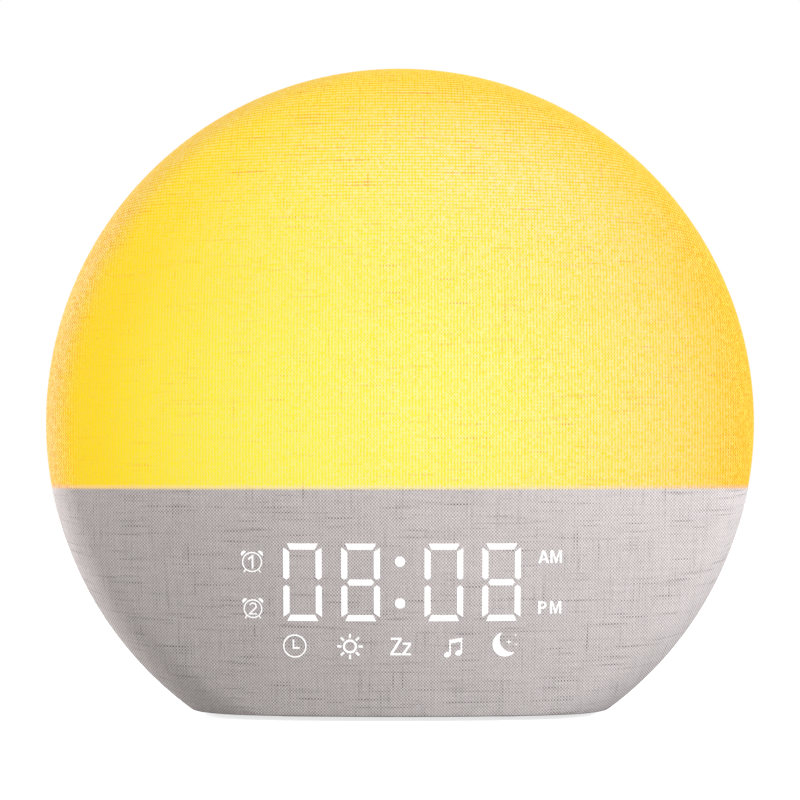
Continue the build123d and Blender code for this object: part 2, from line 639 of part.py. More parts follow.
def speaker_surround():
    """Half-roll of rubber between the cone's edge and the flange."""
    inner, outer = CONE_RADIUS, BASKET_BORE
    middle, crest = (inner + outer) / 2, CONE_EDGE_Y + 1.5
    left, right = (inner + CONE_WALL, CONE_EDGE_Y), (outer - CONE_WALL, CONE_EDGE_Y)
    top = ThreePointArc((inner, CONE_EDGE_Y), (middle, crest), (outer, CONE_EDGE_Y))
    low = ThreePointArc(right, (middle, crest - CONE_WALL), left)
    return turned(top + Line((outer, CONE_EDGE_Y), right) + low + Line(left, (inner, CONE_EDGE_Y)), SPEAKER)


# ---- Main board and what stands on it --------------------------------------------------
BOARD_TOP = MAIN_BOARD_Z + BOARD
SOCKET_XS = (-27.5, -16.5, -5.5, 5.5, 16.5, 27.5)
SOCKET_Y = 5.0
SOCKET_RISE = 5.5
SOCKET_TOP = BOARD_TOP + SOCKET_RISE


def usb_z():
    """Height of the inlet's centre, lying on the main board."""
    return BOARD_TOP + USB_HEIGHT / 2


def main_board():
    """Level board on the housing's floor."""
    board = block((-MAIN_BOARD_HALF, MAIN_BOARD_HALF), MAIN_BOARD_YS, (MAIN_BOARD_Z, BOARD_TOP))
    board = chamfer(board.edges().filter_by(Axis.Z).group_by(Axis.Y)[-1], 4)
    for place in MAIN_SCREWS:
        board -= post(BOARD_HOLE, MAIN_BOARD_Z, BOARD_TOP, place)
    return board


def main_chip():
    """Square controller package with a bevelled top."""
    chip = block((-6, 6), (12, 24), (BOARD_TOP, BOARD_TOP + 1.6))
    return chamfer(chip.edges().group_by(Axis.Z)[-1], 0.3)


def radio_module():
    """Small board with a screening can, for the sound link."""
    base = block((12, 25), (12, 26), (BOARD_TOP, BOARD_TOP + 0.8))
    can = block((13, 24), (13, 22), (BOARD_TOP + 0.8, BOARD_TOP + 2.6))
    return base + chamfer(can.edges().group_by(Axis.Z)[-1], 0.4)


def board_capacitors():
    """Three upright can capacitors."""
    can = Cylinder(3.15, 8.0, align=MIDDLE)
    can = chamfer(can.edges().sort_by(Axis.Z)[-1], 0.5)
    return Compound([Pos(x, y, BOARD_TOP) * can for x, y in ((-14, 27), (-14, 18), (-22, 21))])


def wire_sockets():
    """Row of wire sockets along the main board's front edge, open at the top."""
    body = block((-3.8, 3.8), (-2.3, 2.3), (0, SOCKET_RISE))
    body -= block((-3.0, 3.0), (-1.6, 1.6), (4.0, SOCKET_RISE))
    return Compound([Pos(x, SOCKET_Y, BOARD_TOP) * body for x in SOCKET_XS])


def usb_socket():
    """Reversible power socket: a drawn shell round a thin tongue."""
    centre = Pos(0, usb_z())
    front = USB_MOUTH - USB_DEPTH
    inner = RectangleRounded(USB_WIDTH - 2 * USB_WALL, USB_HEIGHT - 2 * USB_WALL, 1.6 - USB_WALL)
    body = plate(centre * RectangleRounded(USB_WIDTH, USB_HEIGHT, 1.6), front, USB_MOUTH)
    blade = plate(centre * Rectangle(6.69, 0.7), front + 1.0, USB_MOUTH - 1.0)
    return body - plate(centre * inner, front + 1.2, USB_MOUTH) + blade


# ---- Battery ---------------------------------------------------------------------------
def battery_door():
    """Flush door with two tabs on one edge, a sunk screw hole on the other and finger grooves."""
    seat = HOUSE_BACK - DOOR_THICK
    door = plate(Pos(*DOOR_PLACE) * RectangleRounded(*DOOR_SIZE, 1.5), seat, HOUSE_BACK)
    door -= rod(1.2, seat, HOUSE_BACK, DOOR_SCREW) + rod(2.2, HOUSE_BACK - 0.9, HOUSE_BACK, DOOR_SCREW)
    grooves = [Pos(DOOR_PLACE[0] + 6.0, DOOR_PLACE[1]) * spot * Rot(0, 0, 90) * SlotOverall(12.0, 1.2)
               for spot in GridLocations(2.4, 0, 3, 1)]
    return door + door_tabs(0.0) - plate(Sketch() + grooves, HOUSE_BACK - 0.5, HOUSE_BACK)


def battery_door_screw():
    """Small screw, its head sunk in the door."""
    x, z = DOOR_SCREW
    return Pos(x, HOUSE_BACK - 0.9, z) * Rot(90, 0, 0) * screw(0.95, 4.0, 1.9, 0.9)


def cell_centre():
    """Centre of the coin cell, towards the side away from the screw."""
    return DOOR_PLACE[0] + 1.5, DOOR_PLACE[1]


def coin_cell():
    """Button battery with its stepped negative cap facing in."""
    step = CELL_FRONT + 0.5
    back = CELL_FRONT + CELL_THICK
    return ring([(0, CELL_FRONT), (CELL_RADIUS - 1.2, CELL_FRONT), (CELL_RADIUS - 1.2, step),
                 (CELL_RADIUS, step), (CELL_RADIUS, back), (0, back)], cell_centre())


def battery_contacts():
    """Leaf under the cell and side contact above it."""
    x, z = cell_centre()
    leaf = block((x - 7, x + 7), (POCKET_FLOOR, POCKET_FLOOR + 0.3), (z - 2, z + 2))
    leaf += rod(1.5, POCKET_FLOOR, CELL_FRONT, (x, z))
    edge = z + CELL_RADIUS
    side = block((x - 3, x + 3), (34.0, 37.0), (edge + 0.1, edge + 0.7))
    return Compound([leaf, side])


# ---- Base pad --------------------------------------------------------------------------
def base_pad():
    """Soft pad with rounded corners that bridges the seam underneath."""
    pad = extrude(Pos(0, PAD_Y) * RectangleRounded(*PAD_SIZE, PAD_CORNER), PAD_RISE)
    return chamfer(pad.edges().group_by(Axis.Z)[0], 0.3)


# ---- Screws ----------------------------------------------------------------------------
def case_screws():
    """Four long-reach screws from the back into the tray and the front shell."""
    body = screw(PILOT - 0.05, CASE_BITE, 2.8, 2.0)
    turn = Rot(90, 0, 0)
    return Compound([Pos(x, front + TOWER_FLOOR, z) * turn * body for (x, z), front in case_towers()])


def board_screws():
    """Small screws that hold the boards and the speaker."""
    body = screw(SMALL_PILOT - 0.05, 3.6, 1.9, 1.3)
    lamp_front = TRAY_BACK - TRAY_WALL - BOARD
    seats = [Pos(x, y, BOARD_TOP) * Rot(180, 0, 0) for x, y in MAIN_SCREWS]
    seats += [Pos(x, y, TOP_BOARD_Z - BOARD) for x, y in TOP_BOARD_SCREWS]
    seats += [Pos(x, BACK_BOARD_Y - BOARD, z) * Rot(-90, 0, 0) for x, z in BACK_BOARD_SCREWS]
    seats += [Pos(x, FLANGE_BACK - 1.2, z) * Rot(-90, 0, 0) for x, z in speaker_screw_places()]
    seats += [Pos(x, lamp_front, z) * Rot(-90, 0, 0) for x, z in LAMP_SCREWS]
    seats += [Pos(x, MASK_BACK + BOARD, z) * Rot(90, 0, 0) for x, z in DISPLAY_SCREWS]
    return Compound([seat * body for seat in seats])


# ---- Wire bundles ----------------------------------------------------------------------
def lead(*points, radius=1.1):
    """Round wire bundle along a route, each bend as large as its two runs allow."""
    route = [Vector(*point) for point in points]
    runs = [end - start for start, end in zip(route, route[1:])]
    bends = []
    for before, after in zip(runs, runs[1:]):
        turn = radians(before.get_angle(after))
        bends.append(0.45 * min(before.length, after.length) / tan(turn / 2))
    path = FilletPolyline(*route, radius=bends)
    return sweep(Plane(origin=route[0], z_dir=runs[0]) * Circle(radius), path=path)


LEADS = {
    "battery_lead": [(-27.5, 5, SOCKET_TOP), (-27.5, 5, 24), (-28, 10, 34), (-28.5, 21, 39),
                     (-28.5, 32.2, 39)],
    "lamp_lead": [(-16.5, 5, SOCKET_TOP), (-16.5, 5, 30), (-20, 4.8, 46), (-20, 4.8, 60)],
    "speaker_lead": [(-5.5, 5, SOCKET_TOP), (-5.5, 5, 30), (-11, 10, 44), (-17, 18, 53),
                     (-18.5, 26, 57), (-18.5, 34.4, 57)],
    "display_lead": [(5.5, -16, 30), (5.5, -8, 30), (5.5, 1, 27.5), (5.5, 5, 22), (5.5, 5, SOCKET_TOP)],
    "back_key_lead": [(16.5, 5, SOCKET_TOP), (16.5, 5, 36), (20, 8, 60), (20, 9, 86),
                      (18.5, 15, 101), (16, 26, 105), (16, 26, 113.5)],
    "top_key_lead": [(27.5, 5, SOCKET_TOP), (27.5, 5, 38), (31, 8, 62), (31, 9.5, 92),
                     (28, 12, 112), (28, 12, 125.6)],
}


# ---- Every node ------------------------------------------------------------------------
def nodes():
    """Every sub-part by its node name."""
    made = [fabric_cover, front_shell, light_tray, lamp_board, lamp_leds, display_mask,
            segment_lenses, icon_lenses, display_board, display_leds, rear_housing, base_pad,
            top_key_board, back_key_board, speaker_grille, speaker_gasket, speaker_basket,
            speaker_magnet, speaker_cone, speaker_surround, main_board, main_chip, radio_module,
            board_capacitors, wire_sockets, usb_socket, battery_door, battery_door_screw,
            coin_cell, battery_contacts, case_screws, board_screws]
    parts = {make.__name__: make() for make in made}
    for name, (x, width) in TOP_KEYS.items():
        parts[name] = top_key(x, width)
    for name, x in BACK_KEYS.items():
        parts[name] = back_key(x)
    for group, seats in (("top_switches", top_switch_seats()), ("back_switches", back_switch_seats())):
        parts[group] = Compound([seat * switch() for seat in seats.values()])
        for name, seat in seats.items():
            parts[name.replace("_key", "_plunger")] = seat * plunger()
    for name, route in LEADS.items():
        parts[name] = lead(*route)
    return parts


os.makedirs("parts", exist_ok=True)
for node, shape in nodes().items():
    export_step(shape, f"parts/{node}.step")
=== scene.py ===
"""Sunrise alarm clock: the finishes, cloth, lit display and small parts around its packed construction.

Lengths are metres in the clock's own frame: X across it, Y from the cloth face to the back, Z up from
the table. Sizes that a maker would quote are written in millimetres times MM.
"""

from __future__ import annotations

import json
import logging
import math
from collections.abc import Callable, Iterator
from contextlib import contextmanager
from dataclasses import dataclass, field
from enum import Enum
from typing import NamedTuple

import bpy
from mathutils import Matrix, Vector
from mathutils.bvhtree import BVHTree


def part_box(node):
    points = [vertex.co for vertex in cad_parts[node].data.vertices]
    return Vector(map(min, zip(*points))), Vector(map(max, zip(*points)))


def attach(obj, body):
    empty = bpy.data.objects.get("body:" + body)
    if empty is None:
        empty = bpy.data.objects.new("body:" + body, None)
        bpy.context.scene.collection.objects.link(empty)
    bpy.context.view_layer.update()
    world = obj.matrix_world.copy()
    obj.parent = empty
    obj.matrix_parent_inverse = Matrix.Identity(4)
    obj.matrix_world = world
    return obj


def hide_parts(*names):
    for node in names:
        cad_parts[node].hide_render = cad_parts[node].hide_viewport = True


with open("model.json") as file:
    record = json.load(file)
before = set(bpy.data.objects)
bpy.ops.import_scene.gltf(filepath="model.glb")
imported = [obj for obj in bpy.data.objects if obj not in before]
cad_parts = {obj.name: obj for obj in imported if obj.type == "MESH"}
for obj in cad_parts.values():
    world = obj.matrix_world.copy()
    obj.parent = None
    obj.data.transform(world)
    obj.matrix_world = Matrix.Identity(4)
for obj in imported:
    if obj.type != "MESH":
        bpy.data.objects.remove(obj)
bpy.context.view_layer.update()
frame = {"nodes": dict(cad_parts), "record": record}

MM = 0.001
LOG = logging.getLogger("sunrise_clock")
Colour = tuple[float, float, float]
Point = tuple[float, float]
Span = tuple[float, float]
Piece = bpy.types.Object
Socket = bpy.types.NodeSocket
WHITE = (1.0, 1.0, 1.0, 1.0)
UPRIGHT = (math.pi / 2, 0, 0)         # stands a flat primitive up, facing the front


def tinted(colour: Colour, factor: float) -> Colour:
    """Return a colour made darker or paler by a factor, up to white."""
    return tuple(min(1.0, channel * factor) for channel in colour)


# ---- Shader graphs ---------------------------------------------------------------------
class Graph:
    """A material's or a world's node tree, with short ways to add and join nodes."""

    NOISE_RANGE: Span = (0.3, 0.7)    # where nearly all values of a noise lie

    def __init__(self, holder: bpy.types.Material | bpy.types.World) -> None:
        """Take the nodes of a new material or world.

        Args:
            holder: What the nodes belong to.
        """
        holder.use_nodes = True
        self.holder = holder
        self.nodes = holder.node_tree.nodes
        self.links = holder.node_tree.links
        self.shader = self.nodes.get("Principled BSDF") or self.nodes["Background"]
        self.output = self.nodes.get("Material Output") or self.nodes["World Output"]

    def plug(self, socket: Socket, value: object) -> None:
        """Join a socket to another node's output, or set it to a plain value.

        Args:
            socket: The input to feed.
            value: An output socket, a number or a vector.
        """
        if isinstance(value, Socket):
            self.links.new(value, socket)
        else:
            socket.default_value = value

    def surface(self, inputs: dict[str, object]) -> None:
        """Feed the shader.

        Args:
            inputs: What goes into its inputs, by name.
        """
        for name, value in inputs.items():
            self.plug(self.shader.inputs[name], value)

    def node(self, kind: str, inputs: dict[str | int, object] | None = None,
             **settings: object) -> bpy.types.Node:
        """Add a node with its settings and inputs.

        Args:
            kind: The node's type name.
            inputs: What goes into its inputs, by name or place.
            settings: The node's own properties.

        Returns:
            The new node.
        """
        made = self.nodes.new(kind)
        for key, value in settings.items():
            setattr(made, key, value)
        for key, value in (inputs or {}).items():
            self.plug(made.inputs[key], value)
        return made

    def math(self, operation: str, *terms: object) -> Socket:
        """Add a math node.

        Args:
            operation: The sum to do.
            terms: Its one, two or three terms.

        Returns:
            The result's socket.
        """
        return self.node("ShaderNodeMath", dict(enumerate(terms)), operation=operation).outputs[0]

    def vector(self, operation: str, *terms: object) -> Socket:
        """Add a vector math node.

        Args:
            operation: The sum to do.
            terms: Its one or two terms.

        Returns:
            The result's socket, which is a number for a length and a dot product.
        """
        made = self.node("ShaderNodeVectorMath", dict(enumerate(terms)), operation=operation)
        return made.outputs["Value" if operation in ("LENGTH", "DOT_PRODUCT") else "Vector"]

    def scaled(self, value: Socket, factor: object) -> Socket:
        """Return the socket of a vector or colour times a factor."""
        return self.node("ShaderNodeVectorMath", {0: value, "Scale": factor}, operation="SCALE").outputs[0]

    def span(self, value: object, low: float, high: float, to_low: float = 0.0,
             to_high: float = 1.0) -> Socket:
        """Map a value smoothly from one range to another, held at both ends.

        Args:
            value: The value to map.
            low: Where the range starts.
            high: Where it ends.
            to_low: The result at the start.
            to_high: The result at the end.

        Returns:
            The mapped value's socket.
        """
        inputs = {"Value": value, "From Min": low, "From Max": high, "To Min": to_low, "To Max": to_high}
        return self.node("ShaderNodeMapRange", inputs, interpolation_type="SMOOTHSTEP").outputs[0]

    def blend(self, share: object, first: object, second: object, how: str = "MIX") -> Socket:
        """Mix two colours.

        Args:
            share: How much of the second, 0 to 1.
            first: The first colour.
            second: The second colour.
            how: The blending type.

        Returns:
            The mixed colour's socket.
        """
        made = self.node("ShaderNodeMix", {0: share}, data_type="RGBA", blend_type=how)
        for place, colour in ((6, first), (7, second)):
            self.plug(made.inputs[place], (*colour, 1.0) if isinstance(colour, tuple) else colour)
        return made.outputs[2]

    def clouded(self, noise: Socket, darker: Colour, lighter: Colour) -> Socket:
        """Return the socket of a colour that a noise moves between two others."""
        return self.blend(self.span(noise, *self.NOISE_RANGE), darker, lighter)

    def ramp(self, share: Socket, stops: tuple[tuple[float, Colour], ...]) -> Socket:
        """Add a colour ramp.

        Args:
            share: What it reads, 0 to 1.
            stops: The places and colours of its stops.

        Returns:
            The colour's socket.
        """
        made = self.node("ShaderNodeValToRGB", {0: share})
        while len(made.color_ramp.elements) < len(stops):
            made.color_ramp.elements.new(0.5)
        for element, (position, colour) in zip(made.color_ramp.elements, stops):
            element.position = position
            element.color = (*colour, 1.0)
        return made.outputs[0]

    def noise(self, where: object, scale: float, detail: float = 2.0, rough: float = 0.5) -> Socket:
        """Add a noise texture.

        Args:
            where: The coordinates it reads.
            scale: Features per metre, or per unit of the coordinates.
            detail: How many finer layers it has.
            rough: How strong the finer layers are.

        Returns:
            The noise value's socket.
        """
        inputs = {"Vector": where, "Scale": scale, "Detail": detail, "Roughness": rough}
        return self.node("ShaderNodeTexNoise", inputs).outputs[0]

    def place(self) -> Socket:
        """Return the socket of the surface point in the clock's own frame."""
        return self.node("ShaderNodeTexCoord").outputs["Object"]

    def bump(self, height: object, distance: float, strength: float = 1.0) -> None:
        """Feed a height to the shader's normal.

        Args:
            height: The height's socket, 0 to 1.
            distance: How deep 1 is, in metres.
            strength: How strongly it shows.
        """
        made = self.node("ShaderNodeBump", {"Height": height, "Distance": distance, "Strength": strength})
        self.plug(self.shader.inputs["Normal"], made.outputs[0])

    def looked_at(self) -> Socket:
        """Tell rays that show a surface from rays that light another.

        Returns:
            1 for camera, glossy and transmission rays, otherwise 0.
        """
        path = self.node("ShaderNodeLightPath").outputs
        either = self.math("MAXIMUM", path["Is Camera Ray"], path["Is Glossy Ray"])
        return self.math("MAXIMUM", either, path["Is Transmission Ray"])

    def swap_when_looked_at(self, lighting: Socket, shown: Socket) -> None:
        """Finish with one shader for the light that it throws and another for its own look.

        Args:
            lighting: The shader that other surfaces receive.
            shown: The shader that is seen.
        """
        seen = self.node("ShaderNodeMixShader", {0: self.looked_at(), 1: lighting, 2: shown})
        self.plug(self.output.inputs["Surface"], seen.outputs[0])


# ---- Finishes --------------------------------------------------------------------------
class Texture(Enum):
    """How a moulded or machined surface is broken up."""

    SATIN = "soft, shallow grain"
    SPARKED = "fine pits left by a spark-eroded mould"
    BRUSHED = "fine lines along X"
    FIBROUS = "pressed paper fibres"


@dataclass(frozen=True)
class Finish:
    """A plain material's colour, gloss and surface texture.

    Grain is the size of its texture and depth how deep that is, both in metres. Mottle is how far its
    colour strays from even, as a share.
    """

    name: str
    colour: Colour
    roughness: float = 0.5
    metallic: float = 0.0
    texture: Texture = Texture.SATIN
    grain: float = 0.25 * MM
    depth: float = 0.01 * MM
    mottle: float = 0.05
    transmission: float = 0.0
    subsurface: float = 0.0

    CLOUDS = 45.0                     # broad patches of colour per metre
    CLOUD_SHARE = 0.6                 # how much the patches tell, and the grain the rest
    GLOSS_SPREAD = 0.12               # how far roughness strays, as a share
    MILKY_DEPTH = 2 * MM              # how deep light goes into a milky piece
    EVEN = (1.0, 1.0, 1.0)
    STRETCH = {Texture.BRUSHED: (0.02, 1.0, 1.0), Texture.FIBROUS: (0.3, 1.0, 1.0)}

    def material(self) -> bpy.types.Material:
        """Build the material.

        Returns:
            The finished material.
        """
        graph = Graph(bpy.data.materials.new(self.name))
        where = graph.place()
        stretch = self.STRETCH.get(self.texture, self.EVEN)
        along = graph.node("ShaderNodeMapping", {"Vector": where, "Scale": stretch}).outputs[0]
        grain = graph.noise(along, 1 / self.grain, detail=3.0, rough=0.6)
        if self.texture is Texture.SPARKED:
            inputs = {"Vector": along, "Scale": 1 / self.grain}
            pits = graph.node("ShaderNodeTexVoronoi", inputs, feature="SMOOTH_F1").outputs[0]
            grain = graph.math("MULTIPLY", grain, pits)
        cloud = graph.noise(where, self.CLOUDS, detail=4.0, rough=0.55)
        shade = graph.math("ADD", graph.math("MULTIPLY", cloud, self.CLOUD_SHARE),
                           graph.math("MULTIPLY", grain, 1 - self.CLOUD_SHARE))
        darker, lighter = (tinted(self.colour, 1 + way * self.mottle) for way in (-1, 1))
        spread = self.GLOSS_SPREAD * self.roughness
        graph.surface({
            "Base Color": graph.clouded(shade, darker, lighter),
            "Roughness": graph.span(shade, 0.25, 0.75, self.roughness - spread, self.roughness + spread),
            "Metallic": self.metallic,
            "Transmission Weight": self.transmission,
            "Subsurface Weight": self.subsurface,
        })
        if self.subsurface:
            graph.surface({"Subsurface Scale": self.MILKY_DEPTH})
        graph.bump(grain, self.depth)
        return graph.holder


@dataclass(frozen=True)
class Glow:
    """Light that a lit piece gives off, nearly even all over."""

    name: str
    colour: Colour
    strength: float = 1.0
    base: Colour = (0.1, 0.1, 0.1)
    flecks: float = 900.0             # faint flecks per metre
    dimmest: float = 0.9              # how bright the dimmest of them are

    def material(self) -> bpy.types.Material:
        """Build the material.

        Returns:
            The finished material.
        """
        graph = Graph(bpy.data.materials.new(self.name))
        fleck = graph.noise(graph.place(), self.flecks)
        graph.surface({
            "Base Color": (*self.base, 1.0),
            "Emission Color": graph.clouded(fleck, tinted(self.colour, self.dimmest), self.colour),
            "Emission Strength": self.strength,
            "Roughness": 0.6,
        })
        return graph.holder


@dataclass(frozen=True)
class Board:
    """Circuit board: solder mask over glass fibre and copper tracks."""

    name: str
    mask: Colour
    track: Colour
    spacing: float = 9.6 * MM         # from one track to the next
    fibre: float = 0.5 * MM
    rise: float = 0.02 * MM           # how far the tracks stand up

    def material(self) -> bpy.types.Material:
        """Build the material.

        Returns:
            The finished material.
        """
        graph = Graph(bpy.data.materials.new(self.name))
        where = graph.place()
        black = (0, 0, 0, 1)
        tracks = graph.node("ShaderNodeTexBrick", {
            "Vector": where, "Scale": 1 / self.spacing, "Mortar Size": 0.03,
            "Color1": black, "Color2": black, "Mortar": WHITE}).outputs[0]
        fibre = graph.noise(where, 1 / self.fibre)
        mask = graph.clouded(fibre, tinted(self.mask, 0.85), self.mask)
        graph.surface({"Base Color": graph.blend(tracks, mask, self.track),
                       "Roughness": graph.span(fibre, *Graph.NOISE_RANGE, 0.25, 0.4)})
        graph.bump(tracks, self.rise)
        return graph.holder


class Weave(NamedTuple):
    """Sockets that tell where a point lies in the weave.

    Height is how far the cloth rises there, about -1 to 1. Crown is how far the point is a crown and not a
    gap, chance a value that each crossing keeps, and slub how much of a thick stretch there is, all 0 to
    1. Tone is how much darker the two threads are than others, about -0.4 to 0.4.
    """

    height: Socket
    crown: Socket
    chance: Socket
    slub: Socket
    tone: Socket


@dataclass(frozen=True)
class Sunrise:
    """Light that comes through the cloth, from the middle of the disc to its edge.

    It spreads from `centre`, and `reach` is the disc's radius. The lamp's own light is `shaded` where
    the room is dark and `washed` where the room's light makes it look paler: painted room light, chosen
    by the way the cloth faces the room's lamps. The room's key light comes from the right, and a second
    one from the left behind reaches the rim alone; `rim` is the glow that this rim light paints. A colour
    that starts with `through` multiplies the light that passes the gaps or the crowns of the threads, and
    one that starts with `on` the light that they reflect; `lit` means painted light of the room, and `rim`
    at the edge of the disc, where the room's light paints a sheen. `painted_top_light` multiplies the
    light in the upper part of the disc, painted light of the room from above; `ember` shows in the gaps of
    a thick stretch, and `line` and `line_lift` multiply and raise the light in the line above the shelf.
    """

    centre: Vector
    reach: float
    shaded: tuple[tuple[float, Colour], ...] = (
        (0.0, (0.88, 0.82, 0.140)), (0.3, (0.88, 0.825, 0.115)), (0.5, (0.88, 0.785, 0.092)),
        (0.7, (0.89, 0.72, 0.055)), (0.82, (0.89, 0.658, 0.032)), (0.93, (0.89, 0.635, 0.032)))
    washed: tuple[tuple[float, Colour], ...] = (
        (0.0, (0.82, 0.82, 0.160)), (0.3, (0.80, 0.770, 0.145)), (0.5, (0.80, 0.720, 0.133)),
        (0.7, (0.80, 0.655, 0.115)), (0.82, (0.80, 0.608, 0.088)), (0.95, (0.79, 0.528, 0.024)))
    # painted rim light: the glow where the room's rim light falls
    rim: Colour = (0.77, 0.555, 0.078)
    # painted top light: tints the glow in the upper part of the disc, as the room's light from above would
    painted_top_light: Colour = (1.0, 1.10, 1.85)
    room_light: Vector = Vector((0.875, -0.436, 0.208))
    room_wash: Span = (0.1, 0.75)     # from where the key light tells to where it tells fully
    rim_light: Vector = Vector((-0.893, 0.157, 0.423))
    rim_wash: Span = (0.15, 0.65)
    rim_sheen: Span = (0.86, 0.98)       # where the painted sheen at the rim begins and is full, over the edge of the disc, as shares of its radius
    rim_sheen_calm: tuple[float, ...] = (0.3, 0.9, 1.0, 0.4)    # how the painted sheen at the rim tells less in the upper part
    # Painted light: the `lit` colours are copies for where the room's light falls, the `rim` ones for the
    # painted sheen at the rim.
    through_gap: Colour = (1.03, 1.03, 0.30)
    through_lit_gap: Colour = (1.05, 0.97, 0.07)
    through_rim_gap: Colour = (1.05, 0.88, 0.05)
    through_crown: Colour = (0.80, 0.80, 0.55)
    through_rim_crown: Colour = (0.84, 1.10, 1.90)
    on_gap: Colour = (0.13, 0.10, 0.17)
    on_crown: Colour = (0.41, 0.35, 1.54)
    on_lit_crown: Colour = (0.41, 0.41, 2.1)
    ember: Colour = (0.80, 0.27, 0.01)
    line: Colour = (1.0, 0.935, 1.0)
    line_lift: Colour = (0.0, 0.0, 0.17)

    def washes(self, graph: Graph) -> tuple[Socket, Socket]:
        """Tell how far the room's key light and its rim light fall on the cloth.

        Args:
            graph: The material's graph.

        Returns:
            The two shares, 0 to 1, from the way the cloth faces, by which painted room light is chosen.
        """
        facing = graph.node("ShaderNodeNewGeometry").outputs["True Normal"]
        key, rim = (graph.span(graph.vector("DOT_PRODUCT", facing, light), *wash)
                    for light, wash in ((self.room_light, self.room_wash), (self.rim_light, self.rim_wash)))
        return key, rim

    def spread(self, graph: Graph, upper: Socket) -> tuple[Socket, Socket, Socket]:
        """Spread the lamp's light over the face.

        Args:
            graph: The material's graph.
            upper: How far the point lies in the upper part of the disc, 0 to 1.

        Returns:
            The light's colour; the painted sheen at the rim, where the rim light falls and near the edge of
            the disc; and how far the room's light shows on the threads there, both 0 to 1.
        """
        off = graph.vector("SUBTRACT", graph.place(), self.centre)
        flat = graph.vector("MULTIPLY", off, (1.0, 0.0, 1.0))
        share = graph.math("DIVIDE", graph.vector("LENGTH", flat), self.reach)
        key, rim = self.washes(graph)
        # Painted room light: the glow's colour follows the way the cloth faces the key light.
        light = graph.blend(key, graph.ramp(share, self.shaded), graph.ramp(share, self.washed))
        # Painted light: the room's light from above in the upper part, and the rim light where it falls.
        light = graph.blend(rim, graph.blend(upper, light, self.painted_top_light, "MULTIPLY"), self.rim)
        # Painted sheen at the rim: where the rim light falls and near the edge of the disc.
        rim_sheen = graph.math("MAXIMUM", rim, graph.span(share, *self.rim_sheen))
        rim_sheen = graph.math("MULTIPLY", rim_sheen, graph.span(upper, *self.rim_sheen_calm))
        # Painted room light: from the way the cloth faces the lamps, and from the height alone in the upper
        # part.
        return light, rim_sheen, graph.math("MAXIMUM", graph.math("MAXIMUM", key, rim), upper)

    def through_threads(self, graph: Graph, crown: Socket, light: Socket, rim_sheen: Socket,
                        room: Socket) -> tuple[Socket, Socket]:
        """Share the light out between the gaps and the crowns of the threads.

        Args:
            graph: The material's graph.
            crown: How far the point is a crown and not a gap, 0 to 1.
            light: The lamp's light there.
            rim_sheen: How strongly the painted sheen at the rim shows there, 0 to 1.
            room: How far the room's light shows there, 0 to 1.

        Returns:
            The colour that the threads reflect, and the light that passes them.
        """
        # Painted room light and the painted sheen at the rim pick the lit copies of the colours.
        on_crown = graph.blend(room, self.on_crown, self.on_lit_crown)
        through_gap = graph.blend(room, self.through_gap, self.through_lit_gap)
        through_gap = graph.blend(rim_sheen, through_gap, self.through_rim_gap)
        through_crown = graph.blend(rim_sheen, self.through_crown, self.through_rim_crown)
        on, through = (graph.blend(crown, *(graph.blend(1.0, light, factor, "MULTIPLY") for factor in pair))
                       for pair in ((self.on_gap, on_crown), (through_gap, through_crown)))
        return on, through


